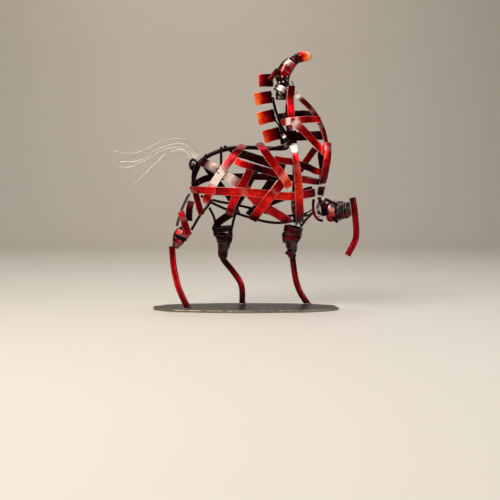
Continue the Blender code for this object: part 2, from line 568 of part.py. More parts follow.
def mane_tab(name, root, end, height):
    """Rectangular tab behind the crest, bowed towards the near side."""
    root, end = np.array(root), np.array(end)
    up = np.array([-(end - root)[1], (end - root)[0]]) / -np.linalg.norm(end - root)
    share = np.linspace(0, 1, 5)
    middle = root + (end - root) * share[:, None]
    bow = BODY_SHIFT - TAB_OUT / SCALE - TAB_BOW * np.sin(math.pi * share * 0.8)
    grid = np.stack([across_horse(middle + up * height * k, bow) for k in (-0.5, 0.5)], axis=1)
    along = np.gradient(grid[:, 0], axis=0)
    thick = np.cross(along, (up[0], 0.0, up[1]))
    thick *= TAB_THICKNESS / 2 / SCALE / np.linalg.norm(thick, axis=1)[:, None]
    outer = placed(grid + thick[:, None])
    inner = placed(grid - thick[:, None])
    return solid_object(name, grid_shell(name, outer, inner), ORANGE)


def base_plate():
    """Flat plate cut by hand to a long oval round the feet, with a slightly wavy rim."""
    ends = (LEG_BARS["near_hind_leg"][1][-1][0] * SCALE - PLATE_REAR_MARGIN,
            LEG_BARS["far_fore_leg"][1][-1][0] * SCALE + PLATE_FRONT_MARGIN)
    sides = (LEG_BARS["near_hind_leg"][1][-1][2] * SCALE - PLATE_NEAR_MARGIN,
             LEG_BARS["far_fore_leg"][1][-1][2] * SCALE + PLATE_FAR_MARGIN)
    turn = np.linspace(0, 2 * math.pi, PLATE_RIM_POINTS, endpoint=False)
    wave = 1 - PLATE_WAVE * (1 + 0.6 * np.sin(9 * turn + 1) + 0.4 * np.sin(14 * turn)) / sides[1]
    shape = 2 / PLATE_POWER
    x = np.sign(np.cos(turn)) * np.abs(np.cos(turn)) ** shape * wave
    y = np.sign(np.sin(turn)) * np.abs(np.sin(turn)) ** shape * wave
    x = (ends[1] + ends[0]) / 2 + x * (ends[1] - ends[0]) / 2
    y = (sides[1] + sides[0]) / 2 + y * (sides[1] - sides[0]) / 2
    count = len(turn)
    points = [(x[i], y[i], z) for z in (0.0, PLATE_THICKNESS) for i in range(count)]
    faces = [tuple(range(count)), tuple(range(count, 2 * count))]
    faces += [(i, (i + 1) % count, count + (i + 1) % count, count + i) for i in range(count)]
    return solid_object("base_plate", mesh_from("base_plate", points, faces), GUNMETAL)


def tail():
    """Weld on the rump with the tail wires that spring from it, joined into one piece."""
    sphere = bpy.data.meshes.new("tail_weld")
    shell = bmesh.new()
    bmesh.ops.create_icosphere(shell, subdivisions=2, radius=TAIL_BOSS_RADIUS)
    middle = placed(across_horse(np.array([TAIL_ROOT]), TAIL_ROOT[2]))[0]
    bmesh.ops.translate(shell, verts=shell.verts, vec=tuple(middle))
    shell.to_mesh(sphere)
    shell.free()
    parts = [solid_object("tail_weld", sphere, DARK)]
    for k, route in enumerate(TAIL_WIRES):
        parts.append(bar("tail_wire_%d" % (k + 1), TAIL_WIRE_RADIUS, STEEL, (TAIL_ROOT,) + route,
                         16, sides=WIRE_SIDES))
    weld("tail_wires", parts)


for old in list(bpy.data.objects):
    bpy.data.objects.remove(old, do_unlink=True)

base_plate()
for name, (finish, route) in LEG_BARS.items():
    bar(name, LEG_BAR_RADIUS, finish, route, 11, sides=ROUND_SIDES, flat_foot=True)
bar("raised_shin", LEG_BAR_RADIUS, RED, RAISED_SHIN, 11, sides=ROUND_SIDES)
rods = {name: rod_on_form(name, radius, route) for name, (radius, route) in FORM_RODS.items()}
weld("spine_bar", [rods["spine_bar"]]
     + [bar("rump_brace", FRAME_ROD_RADIUS, DARK, route, 5) for route in RUMP_BRACES])
bar("crest_rod", FRAME_ROD_RADIUS, DARK, CREST_ROD, 8)
for name, (side, width, finish, route) in FORM_STRIPS.items():
    strip_on_form(name, side, width, finish, route)
for name, (width, turn, finish, route) in LINK_STRIPS.items():
    link_strip(name, width, turn, finish, route)
for name, (finish, stations) in SLEEVES.items():
    sleeve(name, finish, stations)
sleeve("muzzle", ORANGE, MUZZLE, closed_tip=True)
bar("near_thigh_rod", FRAME_ROD_RADIUS, DARK, NEAR_THIGH_ROD, 7)
weld("far_hock_sleeve", [sleeve("far_hock_wrap", DARK, FAR_HOCK_SLEEVE)]
     + [bar("far_thigh_rod", FRAME_ROD_RADIUS, DARK, route, 6) for route in FAR_THIGH_RODS]
     + [link_strip("far_thigh_strip", *FAR_THIGH_STRIP[:2], DARK, FAR_THIGH_STRIP[2])])
weld("elbow_rods", [bar("elbow_loop", FRAME_ROD_RADIUS, DARK, ELBOW_LOOP, 9),
                    bar("elbow_brace", FRAME_ROD_RADIUS, DARK, ELBOW_BRACE, 5)])
weld("throat_collar", [sleeve("throat_band", DARK, THROAT_COLLAR),
                       bar("throat_wire", TAIL_WIRE_RADIUS, DARK, THROAT_WIRE, 7,
                           sides=WIRE_SIDES)])
for k, (root, end, height) in enumerate(MANE_TABS):
    mane_tab("mane_tab_%d" % (k + 1), root, end, height)
for name, side in EARS.items():
    route = [(x, z, BODY_SHIFT + side * out) for x, z, out in EAR_ROUTE]
    bar(name, EAR_RADIUS, RED, route, 4, sides=ROUND_SIDES)
tail()
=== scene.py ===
"""Looks of a standing horse welded from lacquered steel strip, round bar and wire.

The file follows the horse as it is put together: plate, legs, sleeves, the bars of the
cage, the strips that lie on them, neck, head, mane and tail. Every piece is worked out from
the same routes as the solid that it stands for, only much finer, and three numbers kept on
its points colour it: tone, from near-black 0 through crimson and red to orange 1; edge, 1 on
the rims of a strip; and bare, how far the lacquer is burnished away together with
painted highlights, pale patches set where white glints are wanted. Lengths in the tables
of routes, sleeves, off-cuts, tabs and the neck's levels are in millimetres. Every other
length is in metres, unless its name or comment says millimetres.
"""
import math

import bmesh
import bpy
import numpy as np
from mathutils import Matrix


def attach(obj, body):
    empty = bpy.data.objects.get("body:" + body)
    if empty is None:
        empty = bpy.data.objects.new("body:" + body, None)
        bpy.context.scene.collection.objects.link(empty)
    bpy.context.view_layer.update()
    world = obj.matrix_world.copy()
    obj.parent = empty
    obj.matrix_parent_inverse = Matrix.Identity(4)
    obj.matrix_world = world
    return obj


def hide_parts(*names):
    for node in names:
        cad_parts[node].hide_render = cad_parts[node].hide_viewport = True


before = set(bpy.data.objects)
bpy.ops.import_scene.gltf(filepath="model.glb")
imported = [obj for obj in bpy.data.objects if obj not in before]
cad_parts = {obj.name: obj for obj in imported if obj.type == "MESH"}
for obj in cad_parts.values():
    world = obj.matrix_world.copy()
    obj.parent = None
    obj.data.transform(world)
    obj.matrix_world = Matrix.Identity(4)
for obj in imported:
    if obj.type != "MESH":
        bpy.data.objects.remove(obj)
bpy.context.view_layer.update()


# Camera
# The photograph is taken from 1.75 m in front of the horse's right flank, at about half its
# height, with a long lens. The aim is the photograph's own middle.
CAMERA_PLACE = (0.0071, -1.75, 0.2035)
CAMERA_AIM_HEIGHT = 0.105
CAMERA_LENS_MM = 71.2
SENSOR_WIDTH_MM = 36.0


def add_object(name, data):
    """A new object in the scene that shows the data."""
    made = bpy.data.objects.new(name, data)
    bpy.context.scene.collection.objects.link(made)
    return made


camera_data = bpy.data.cameras.new("camera")
camera_data.lens = CAMERA_LENS_MM
camera_data.sensor_width = SENSOR_WIDTH_MM
camera = add_object("camera", camera_data)
camera.location = CAMERA_PLACE
pitch = math.atan((CAMERA_PLACE[2] - CAMERA_AIM_HEIGHT) / -CAMERA_PLACE[1])
camera.rotation_euler = (math.pi / 2 - pitch, 0.0, 0.0)
bpy.context.scene.camera = camera


# Floor and light
# A plain pale floor that sweeps up far behind the horse, and four soft lamps: a large one
# above the camera's left shoulder, which gives white glints on the strips beside the
# highlights painted into their lacquer, one overhead, a weak one from the right and one that
# lights only the sweep. The room itself is dim.
FLOOR_HALF = 6.0
FLOOR_BELOW = 0.0002
SWEEP_START = 2.1
SWEEP_RADIUS = 0.9
SWEEP_TOP = 4.0
LAMPS = (
    # name, place, what it is aimed at, side of its square, watts, colour
    ("key_lamp", (-0.95, -1.35, 1.55), (0.0, 0.0, 0.22), 1.3, 52.0, "#FFF8F0"),
    ("top_lamp", (0.15, 0.25, 1.90), (0.0, 0.0, 0.22), 1.2, 18.0, "#FFFFFF"),
    ("side_lamp", (1.60, -0.90, 0.70), (0.0, 0.0, 0.22), 0.6, 9.0, "#F2F6FF"),
    ("sweep_lamp", (-0.30, 1.70, 2.10), (-0.15, 3.0, 0.55), 1.0, 12.0, "#FFF4E6"),
)
ROOM_COLOUR = "#D8D2CA"
ROOM_STRENGTH = 0.17


def linear(code):
    """sRGB hex colour as linear RGBA: a channel c becomes ((c + 0.055) / 1.055) ^ 2.4, or
    c / 12.92 where it is very dark."""
    channels = [int(code[k:k + 2], 16) / 255 for k in (1, 3, 5)]
    return [c / 12.92 if c < 0.04045 else ((c + 0.055) / 1.055) ** 2.4 for c in channels] + [1.0]


def add(tree, kind, inputs=(), stops=(), **settings):
    """Add a shader node. inputs gives each socket a value or the socket that feeds it, and
    stops are a colour ramp's places and hex colours."""
    node = tree.nodes.new("ShaderNode" + kind)
    for name, value in settings.items():
        setattr(node, name, value)
    for name, value in dict(inputs).items():
        if isinstance(value, bpy.types.NodeSocket):
            tree.links.new(value, node.inputs[name])
        else:
            node.inputs[name].default_value = value
    for k, (place, code) in enumerate(stops):
        elements = node.color_ramp.elements
        stop = elements[k] if k < 2 else elements.new(place)
        stop.position = place
        stop.color = linear(code)
    return node


def noise(tree, vector, scale, detail, **more):
    """Noise read at the vector, from 0 to 1."""
    return add(tree, "TexNoise", {"Vector": vector, "Scale": scale, "Detail": detail,
                                  **more}).outputs["Fac"]


def remap(tree, value, low, high, start=0.0, end=1.0):
    """A value that runs from start to end, brought to run from low to high."""
    return add(tree, "MapRange", {"Value": value, "From Min": start, "From Max": end,
                                  "To Min": low, "To Max": high}).outputs[0]


def combine(tree, operation, first, second, **settings):
    """Two values joined by ADD, SUBTRACT or MULTIPLY."""
    return add(tree, "Math", {0: first, 1: second}, operation=operation, **settings).outputs[0]


def new_material(name):
    """An empty node material and its tree."""
    material = bpy.data.materials.new(name)
    material.use_nodes = True
    material.node_tree.nodes.clear()
    return material, material.node_tree


def finish_material(tree, **inputs):
    """The Principled shader with these sockets set or fed, joined to the output."""
    named = {name.replace("_", " "): value for name, value in inputs.items()}
    shader = add(tree, "BsdfPrincipled", named)
    add(tree, "OutputMaterial", {"Surface": shader.outputs["BSDF"]})


floor_paint, tree = new_material("pale_matt_floor")
finish_material(tree, Base_Color=linear("#CBC5BC"), Roughness=0.7)
bend = np.linspace(0, math.pi / 2, 24)
sweep = ([(-FLOOR_HALF, 0.0)]
         + list(zip(SWEEP_START + SWEEP_RADIUS * np.sin(bend), SWEEP_RADIUS * (1 - np.cos(bend))))
         + [(SWEEP_START + SWEEP_RADIUS, SWEEP_TOP)])
floor_mesh = bpy.data.meshes.new("floor")
floor_mesh.from_pydata([(x, y, z - FLOOR_BELOW) for y, z in sweep
                        for x in (-FLOOR_HALF, FLOOR_HALF)],
                       [], [(2 * k, 2 * k + 1, 2 * k + 3, 2 * k + 2)
                            for k in range(len(sweep) - 1)])
floor_mesh.shade_smooth()
floor_mesh.materials.append(floor_paint)
floor = add_object("floor", floor_mesh)

for name, place, aim, side, watts, code in LAMPS:
    lamp_data = bpy.data.lights.new(name, "AREA")
    lamp_data.size = side
    lamp_data.energy = watts
    lamp_data.color = linear(code)[:3]
    lamp = add_object(name, lamp_data)
    lamp.location = place
    toward = np.array(aim) - np.array(place)
    lamp.rotation_euler = (math.atan2(math.hypot(*toward[:2]), -toward[2]), 0.0,
                           math.atan2(-toward[0], toward[1]))

room = bpy.data.worlds.new("room")
bpy.context.scene.world = room
room.use_nodes = True
background = room.node_tree.nodes["Background"]
background.inputs["Color"].default_value = linear(ROOM_COLOUR)
background.inputs["Strength"].default_value = ROOM_STRENGTH
bpy.context.scene.view_settings.view_transform = "Standard"


# Base plate
# Mild steel plate, 4 mm thick, cut by hand with a torch to a long oval, so its rim is wavy
# and shows brighter metal. Its face is rubbed down along its length and left dark.
PLATE_THICKNESS = 0.004
PLATE_HALF_LENGTH = 0.167
PLATE_HALF_DEPTH = 0.062
PLATE_WAVE = 0.0012
PLATE_POWER = 2.4
PLATE_RIM_POINTS = 480
PLATE_RIM_ROUND = 0.0007
TORCH_RIPPLE = 0.00022
# Deeper bites of the torch: place along the rim in degrees, half width there and depth.
TORCH_BITES = ((181, 1.6, 0.0026), (235, 1.0, 0.0016), (248, 0.8, 0.0030), (262, 1.2, 0.0012),
               (287, 1.0, 0.0014), (318, 1.4, 0.0012), (352, 1.5, 0.0016), (75, 1.5, 0.0014))
SHARP_EDGE_DEGREES = 40
MARKS = ("tone", "edge", "bare")


def around(count):
    """Angles once round, the last one short of the first."""
    return np.linspace(0, 2 * math.pi, count, endpoint=False)


def travelled(line):
    """Distance along a line of points, from 0 at its start."""
    return np.concatenate([[0.0], np.cumsum(np.linalg.norm(np.diff(line, axis=0), axis=1))])


def closed_shell(points, tone=0.5, edge=0.0, bare=0.0, ring=False):
    """A closed surface: a grid of points whose columns close on themselves, and whose rows
    close too for a ring or end in flat caps. Its UV is metres along and metres round."""
    middle = points[len(points) // 2]
    marks = [np.broadcast_to(mark, points.shape[:2]).reshape(-1) for mark in (tone, edge, bare)]
    return {"points": points, "ring": ring, "marks": dict(zip(MARKS, marks)),
            "along": travelled(np.vstack([points[:, 0], points[:1, 0]])),
            "girth": travelled(np.vstack([middle, middle[:1]]))}


def make_piece(name, shells, material, slot, *nodes):
    """One mesh object made of closed shells, riding on the horse in place of the nodes."""
    faces, caps, corners, start = [], [], [], 0
    for part in shells:
        rows, columns = part["points"].shape[:2]
        i = np.arange(rows if part["ring"] else rows - 1)[:, None]
        j = np.arange(columns)[None, :]
        below, beside = (i + 1) % rows, (j + 1) % columns
        faces.append(start + np.stack([i * columns + j, i * columns + beside,
                                       below * columns + beside, below * columns + j],
                                      axis=-1).reshape(-1, 4))
        along, girth = part["along"], part["girth"]
        near, far = along[i] + 0.0 * j, along[i + 1] + 0.0 * j
        left, right = girth[j] + 0.0 * i, girth[j + 1] + 0.0 * i
        corners.append(np.stack([np.stack([near, near, far, far], axis=-1),
                                 np.stack([left, right, right, left], axis=-1)],
                                axis=-1).reshape(-1, 2))
        if not part["ring"]:
            caps.append((start + np.arange(columns)).tolist())
            caps.append((start + (rows - 1) * columns + np.arange(columns)).tolist())
        start += rows * columns
    points = np.concatenate([part["points"].reshape(-1, 3) for part in shells])
    corners.append(np.zeros((sum(len(cap) for cap in caps), 2)))
    mesh = bpy.data.meshes.new(name)
    mesh.from_pydata(points.tolist(), [], np.concatenate(faces).tolist() + caps)
    mesh.uv_layers.new(name="UVMap").data.foreach_set("uv", np.concatenate(corners).reshape(-1))
    for mark in MARKS:
        values = np.concatenate([part["marks"][mark] for part in shells])
        mesh.attributes.new(mark, "FLOAT", "POINT").data.foreach_set("value", values)
    outward = bmesh.new()
    outward.from_mesh(mesh)
    bmesh.ops.recalc_face_normals(outward, faces=outward.faces)
    outward.to_mesh(mesh)
    outward.free()
    mesh.shade_smooth()
    mesh.set_sharp_from_angle(angle=math.radians(SHARP_EDGE_DEGREES))
    mesh.materials.append(material)
    piece = add_object(name, mesh)
    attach(piece, "root")
    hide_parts(*nodes)


# Rubbed mild steel: dark grey metal, brushed along its length. The streaks are 1.3 mm apart
# across the plate (1 / 800 m) and 50 mm long, with a brighter torch-cut rim.
plate_steel, tree = new_material("rubbed_mild_steel_plate")
place = add(tree, "TexCoord").outputs["Object"]
stretched = add(tree, "Mapping", {"Vector": place, "Scale": (20, 800, 60)})
brushed = noise(tree, stretched.outputs[0], 1.0, 4.0)
rim = add(tree, "Attribute", attribute_name="edge")
dark = add(tree, "ValToRGB", {"Fac": noise(tree, place, 34.0, 3.0)},
           stops=((0.3, "#2E2B2A"), (0.7, "#4A4544")))
bright = add(tree, "ValToRGB", {"Fac": noise(tree, place, 900.0, 2.0)},
             stops=((0.35, "#5A5048"), (0.65, "#C2B49E")))
colour = add(tree, "Mix", {"Factor": rim.outputs["Fac"], "A": dark.outputs[0],
                           "B": bright.outputs[0]}, data_type="RGBA")
streaks = add(tree, "Bump", {"Height": brushed, "Strength": 0.35, "Distance": 0.0003})
finish_material(tree, Base_Color=colour.outputs["Result"], Metallic=0.9,
                Roughness=remap(tree, brushed, 0.26, 0.5), Normal=streaks.outputs[0])

# The oval is a superellipse, with |cos| and |sin| raised to 2 / power, pulled in by slow
# waves, by the torch's ripple and by its deeper bites. The rim is rounded top and bottom.
turn = around(PLATE_RIM_POINTS)
waves = PLATE_WAVE * (1 + 0.6 * np.sin(9 * turn + 1) + 0.4 * np.sin(14 * turn))
ripple = TORCH_RIPPLE * (1 + np.sin(83 * turn) * np.sin(7 * turn + 2))
bites = sum(depth * np.exp(-(((np.degrees(turn) - at + 180) % 360 - 180) / half) ** 2)
            for at, half, depth in TORCH_BITES)
profile = np.array([(1.0, 0.0), (0.35, 0.08), (0.0, 0.25), (0.1, 0.5), (0.0, 0.75),
                    (0.35, 0.93), (1.0, 1.0), (4.0, 1.0)])
inset = PLATE_RIM_ROUND * profile[:, :1] + ripple[None, :]
shrink = 1 - (waves / PLATE_HALF_DEPTH)[None, :]
plate_points = np.stack(
    [np.sign(wing) * np.abs(wing) ** (2 / PLATE_POWER)
     * (half * shrink - inset - bites[None, :])
     for wing, half in ((np.cos(turn), PLATE_HALF_LENGTH), (np.sin(turn), PLATE_HALF_DEPTH))]
    + [np.broadcast_to(profile[:, 1:] * PLATE_THICKNESS, inset.shape)], axis=-1)
plate_edge = np.array([0.9, 0.9, 0.75, 0.7, 0.8, 1.0, 0.8, 0.0])[:, None]
make_piece("base_plate_dressed", [closed_shell(plate_points, edge=plate_edge)], plate_steel,
           "gunmetal_plate", "base_plate")


# Legs
# 11 mm round bar, bent cold and lacquered, redder halfway down than at its ends. Each
# standing leg is welded to the plate with a lumpy bead round its foot.
MM = 0.001
WELD_GAP = 0.0003
PLATE_TOP = PLATE_THICKNESS + WELD_GAP  # heights in the tables are above this
LEG_BAR_RADIUS = 0.0055
FOOT_WELD_RADIUS = 0.0060
FOOT_WELD_BEAD = 0.0011
FOOT_WELD_LIFT = 0.0004
ROW_SPACING = 0.0016
LEGS = (
    # name, slot, lacquer tones down the leg, route: x, height, place across
    ("near_hind_leg", "red_lacquer", (0.42, 0.52, 0.60, 0.62, 0.58, 0.42, 0.25),
     ((-129, 109, -27), (-127, 81, -28.5), (-123.5, 60, -30), (-118.5, 39.5, -31),
      (-112, 23, -31.5), (-101, 0, -32))),
    ("far_hind_leg", "dark_lacquer", (0.10, 0.20, 0.42, 0.48, 0.30, 0.08),
     ((-42.4, 86.5, 44), (-40, 79, 44), (-26, 62, 44), (-13.5, 44.5, 44), (-8.5, 33, 44),
      (-7, 21, 44), (-7, 0, 44))),
    ("far_fore_leg", "dark_lacquer", (0.12, 0.28, 0.42, 0.44, 0.40, 0.20),
     ((83.8, 96, 44), (84.5, 84, 44), (87.7, 59.5, 44), (91.7, 39.2, 44), (99, 20.2, 44),
      (112, 0, 44))),
)
RAISED_SHIN = (
    (184.8, 193.5, -30), (188, 178, -30), (190.5, 155.5, -30), (192, 133, -30), (189.5, 117, -30),
    (177, 93, -30))
RAISED_SHIN_TONES = (0.30, 0.46, 0.52, 0.55, 0.50, 0.45)


def smooth_route(points, shares, measured=2):
    """Catmull-Rom curve through the points, read at shares of its length. The length is
    measured over the first columns only."""
    p = np.asarray(points, float)
    p = np.vstack([2 * p[0] - p[1], p, 2 * p[-1] - p[-2]])
    t = np.linspace(0, 1, 49)[:, None]
    fine = np.vstack([0.5 * (2 * b + (c - a) * t + (2 * a - 5 * b + 4 * c - d) * t ** 2
                             + (3 * b - a - 3 * c + d) * t ** 3)
                      for a, b, c, d in zip(p, p[1:], p[2:], p[3:])])
    length = travelled(fine[:, :measured])
    wanted = np.asarray(shares) * length[-1]
    return np.stack([np.interp(wanted, length, column) for column in fine.T], axis=1)


def metres(table):
    """A table of millimetres as an array of metres."""
    return np.asarray(table, float) * MM


def placed(path):
    """Points above the plate from columns in metres: x, height and place across."""
    return np.stack([path[:, 0], path[:, 2], path[:, 1] + PLATE_TOP], axis=1)


def unit(rows):
    """The vectors scaled to length 1."""
    return rows / np.linalg.norm(rows, axis=-1, keepdims=True)


def spread(values, shares):
    """Values given at even shares of a length, read at other shares."""
    return np.interp(shares, np.linspace(0, 1, len(values)), values)


def even_shares(points):
    """Shares of a route's length, about ROW_SPACING apart."""
    return np.linspace(0, 1, max(8, int(round(travelled(points)[-1] / ROW_SPACING))))


def tube(path, radius, sides=16, flat_foot=False, ring=False, **marks):
    """Round bar or wire: a circle of the radius carried along the path, upright to it. The
    path closes on itself for a ring. A flat foot has its last circle cut level."""
    tangent = (np.roll(path, -1, axis=0) - np.roll(path, 1, axis=0)) if ring else \
        np.gradient(path, axis=0)
    tangent = unit(tangent)
    first = unit(np.cross(tangent, (0.02, 1.0, 0.01)))
    second = np.cross(tangent, first)
    turn = around(sides)[None, :, None]
    radius = np.broadcast_to(radius, len(path))[:, None, None]
    points = path[:, None] + radius * (np.cos(turn) * first[:, None]
                                       + np.sin(turn) * second[:, None])
    if flat_foot:
        points[-1] += ((path[-1, 2] - points[-1, :, 2]) / tangent[-1, 2])[:, None] * tangent[-1]
    return closed_shell(points, ring=ring, **marks)


def bar(route, radius, tones, **shape):
    """Tube along a smooth route from a table in millimetres, with its ends cut square."""
    shares = even_shares(metres(route))
    path = placed(smooth_route(metres(route), shares, measured=3))
    return tube(path, radius, tone=spread(tones, shares)[:, None], **shape)


def foot_weld(foot, seed):
    """Lumpy weld bead round a bar's foot: a torus whose thickness rises and falls."""
    turn = around(64)
    lumps = 1 + 0.22 * np.sin(11 * turn + seed) + 0.15 * np.sin(17 * turn + 2 * seed)
    path = foot + np.stack([np.cos(turn) * FOOT_WELD_RADIUS, np.sin(turn) * FOOT_WELD_RADIUS,
                            0.0 * turn + FOOT_WELD_LIFT], axis=1)
    return tube(path, FOOT_WELD_BEAD * lumps, sides=10, ring=True, tone=0.08, bare=0.35)


# Clear red lacquer over burnished steel. The steel shows through as metal, so a tone turns
# from near-black to deep crimson, red and orange as the coat thins. Burnishing streaks are
# 0.35 mm apart across a strip (1 / 2800 m) and 8 mm long, and the rims are rubbed pale. The
# same pale mix, fed by bare, also paints highlights: white glints at set places
# on the strips, on one side of each cuff and on the muzzle.
lacquer, tree = new_material("candy_lacquer_with_burnish_and_painted_glints")
tone, edge, bare = (add(tree, "Attribute", attribute_name=mark).outputs["Fac"] for mark in MARKS)
place = add(tree, "TexCoord").outputs
stretched = add(tree, "Mapping", {"Vector": place["UV"], "Scale": (120, 2800, 1)})
patches = noise(tree, place["Object"], 95.0, 3.0)
burnish = noise(tree, stretched.outputs[0], 1.0, 3.0)
swirls = noise(tree, place["Object"], 420.0, 2.0, Distortion=1.2)
clouded = combine(tree, "ADD", tone, remap(tree, patches, -0.09, 0.09, 0.3, 0.7))
varied = combine(tree, "ADD", clouded, remap(tree, burnish, -0.05, 0.05, 0.3, 0.7))
coat = add(tree, "ValToRGB", {"Fac": varied},
           stops=((0.0, "#0E0406"), (0.2, "#300509"), (0.35, "#62060F"), (0.5, "#9C0812"),
                  (0.62, "#CC0C0C"), (0.74, "#E8200A"), (0.86, "#F85810"), (1.0, "#FF9A20")))
# Pale mix: rubbed rims, plus bare, which is partly burnishing and partly painted highlight.
whitening = combine(tree, "ADD", combine(tree, "MULTIPLY", edge, 0.26), bare)
paleness = combine(tree, "MULTIPLY", whitening, remap(tree, swirls, 0.5, 1.0, 0.35, 0.65),
                   use_clamp=True)
colour = add(tree, "Mix", {"Factor": paleness, "A": coat.outputs[0], "B": linear("#FBE3DA")},
             data_type="RGBA")
metal = combine(tree, "SUBTRACT", remap(tree, paleness, 1.0, 0.4),
                remap(tree, varied, 0.0, 0.6, 0.62, 0.95), use_clamp=True)
scratches = add(tree, "Bump", {"Height": burnish, "Strength": 0.22, "Distance": 0.0003})
dimples = add(tree, "Bump", {"Height": patches, "Strength": 0.35, "Distance": 0.0012,
                             "Normal": scratches.outputs[0]})
finish_material(tree, Base_Color=colour.outputs["Result"], Metallic=metal,
                Roughness=remap(tree, burnish, 0.18, 0.42), Normal=dimples.outputs[0],
                Coat_Weight=0.1, Coat_Roughness=0.1)


def dress(node, shells, slot="dark_lacquer"):
    """The lacquered piece that takes the node's place."""
    make_piece(node + "_dressed", shells, lacquer, slot, node)


for seed, (name, slot, tones, route) in enumerate(LEGS):
    foot = placed(metres(route[-1:]))
    dress(name, [bar(route, LEG_BAR_RADIUS, tones, sides=28, flat_foot=True),
                 foot_weld(foot, seed)], slot)
dress("raised_shin", [bar(RAISED_SHIN, LEG_BAR_RADIUS, RAISED_SHIN_TONES, sides=28)],
      "red_lacquer")


# Sleeves
# At each hock, at the knee and round the raised forearm the bar is sleeved with a few turns
# of flat strip, hammered round it and tacked. Between the turns the sleeve's own wall shows,
# near-black: painted shade for the hollow.
CUFF_WALL = 0.0014
CUFF_LIFT = 0.0007
FRAME_ROD_RADIUS = 0.0024
STRIP_THICKNESS = 0.0014
RIM_ROUND = 0.0006
SLEEVE_SIDES = 72
CUFF_WANDER = 0.006
# Where round each cuff its painted highlight sits, in radians from the cuff's first direction, and
# how narrow it is.
GLINT_TURN = 1.25
GLINT_POWER = 8
SLEEVES = (
    # node, slot, stations: x, height, place across, half width, half depth, and cuffs:
    # share of the length, slant, direction of the slant in degrees, width, lift, tones, strength
    # of the painted highlight on one side; and seams of weld: share of the length, lift, radius
    ("near_hock_sleeve", "red_lacquer",
     ((-100, 140, -33, 10.5, 9.5), (-112, 129, -34.5, 13.8, 10.5), (-118, 117.5, -36.5, 10, 8),
      (-122.7, 106.5, -38.5, 5.8, 5)),
     ((0.10, 0.05, 30, 7.5, 0.0, (0.44, 0.54, 0.50, 0.40), 0.1),
      (0.33, 0.07, 160, 8, 0.3, (0.50, 0.48, 0.40, 0.50), 0.15),
      (0.72, 0.04, 20, 8.5, 0.1, (0.30, 0.48, 0.46, 0.25), 0.05),
      (0.92, 0.02, 200, 5, 0.0, (0.20, 0.35, 0.30, 0.15), 0.1)), ((0.52, -0.2, 1.2),)),
    ("far_knee_sleeve", "dark_lacquer",
     ((86.5, 141, 38, 17.5, 12), (83, 124, 41, 17.2, 11.5), (82.2, 108.5, 43, 11, 10),
      (83.3, 93.5, 43.8, 8.4, 8), (84.3, 86, 44, 7.4, 7.4)),
     ((0.10, 0.02, 40, 11.5, 0.0, (0.10, 0.30, 0.24, 0.05), 0.0),
      (0.33, 0.03, 200, 12, 1.4, (0.12, 0.26, 0.32, 0.14), 0.0),
      (0.56, 0.03, 90, 15, 0.0, (0.10, 0.12, 0.08, 0.06), 0.08),
      (0.84, 0.09, 170, 9, 1.4, (0.05, 0.10, 0.22, 0.10), 0.05)),
     ((0.45, -0.2, 1.1), (0.98, -1.2, 1.4))),
    ("raised_forearm_sleeve", "dark_lacquer",
     ((140, 169, -29, 13.5, 10.5), (147.5, 169, -29.5, 18.2, 13), (163, 170.5, -30, 16.5, 12.5),
      (181.5, 173.5, -30, 13.5, 11)),
     ((0.18, 0.05, 200, 15, 0.4, (0.20, 0.50, 0.56, 0.30), 0.3),
      (0.52, 0.10, 20, 12, 0.8, (0.04, 0.04, 0.20, 0.04), 0.1),
      (0.72, 0.10, 200, 8, 0.6, (0.04, 0.16, 0.46, 0.06), 0.0),
      (0.90, 0.05, 330, 8, 0.0, (0.04, 0.20, 0.50, 0.06), 0.1)), ((0.36, 0.2, 1.4),)),
)
FAR_HOCK_SLEEVE = (
    (-42, 141, 40, 17, 12), (-40, 125, 42, 16.5, 12), (-40.3, 108.5, 43, 11.8, 10.5),
    (-42, 93, 43.7, 9, 8.8), (-42.3, 84.5, 44, 8.2, 8))
FAR_HOCK_CUFFS = (
    (0.08, 0.03, 200, 9, 0.0, (0.04, 0.05, 0.06, 0.04), 0.0),
    (0.35, 0.04, 20, 12, 1.2, (0.04, 0.08, 0.10, 0.04), 0.0),
    (0.62, 0.03, 150, 14, 0.0, (0.05, 0.08, 0.14, 0.05), 0.05),
    (0.88, 0.03, 30, 9, 0.8, (0.05, 0.12, 0.16, 0.04), 0.0),
)
FAR_HOCK_WALLS = ((0.0, 0.16), (0.24, 1.0))
FAR_HOCK_SEAMS = ((0.49, 0.2, 1.2), (0.97, -1.4, 1.6))
FAR_THIGH_RODS = (
    ((-66, 175, 30), (-57.5, 156, 38), (-55, 134, 41)),
    ((-19, 164, 36), (-23, 151, 40), (-26.5, 135, 41)),
)


def side_frame(middle):
    """Directions at each point of a line: along it, across it as the camera sees it, and
    across both."""
    along = unit(np.gradient(middle, axis=0))
    first = unit(np.cross(along, (0.0, 1.0, 0.0)))
    return along, first, np.cross(along, first)


def sleeve_frame(stations, facets=0.0):
    """A table of the sleeve's middle line, its two directions across, its half sizes and
    how deep its hammered facets are, as a share of its half size."""
    path = smooth_route(metres(stations), np.linspace(0, 1, 161))
    middle = placed(path)
    _, first, second = side_frame(middle)
    return np.hstack([middle, first, second, path[:, 3:5], np.full((len(path), 1), facets)])


def on_sleeve(table, share, turn, lift):
    """Points of the sleeve's wall: middle + cos(turn) first (half width + lift)
    + sin(turn) second (half depth + lift), for whole arrays of share, turn and lift. Each
    half size is first scaled by 1 - facets |sin(3 turn + 5 share)|, which makes six flats
    that twist along the sleeve."""
    share, turn, lift = np.broadcast_arrays(share, turn, lift)
    read = [np.interp(share, np.linspace(0, 1, len(table)), column) for column in table.T]
    middle, first, second = (np.stack(read[k:k + 3], axis=-1) for k in (0, 3, 6))
    flat = 1 - read[11] * np.abs(np.sin(3 * turn + 5 * share))
    return (middle + (np.cos(turn) * (read[9] * flat + lift))[..., None] * first
            + (np.sin(turn) * (read[10] * flat + lift))[..., None] * second)


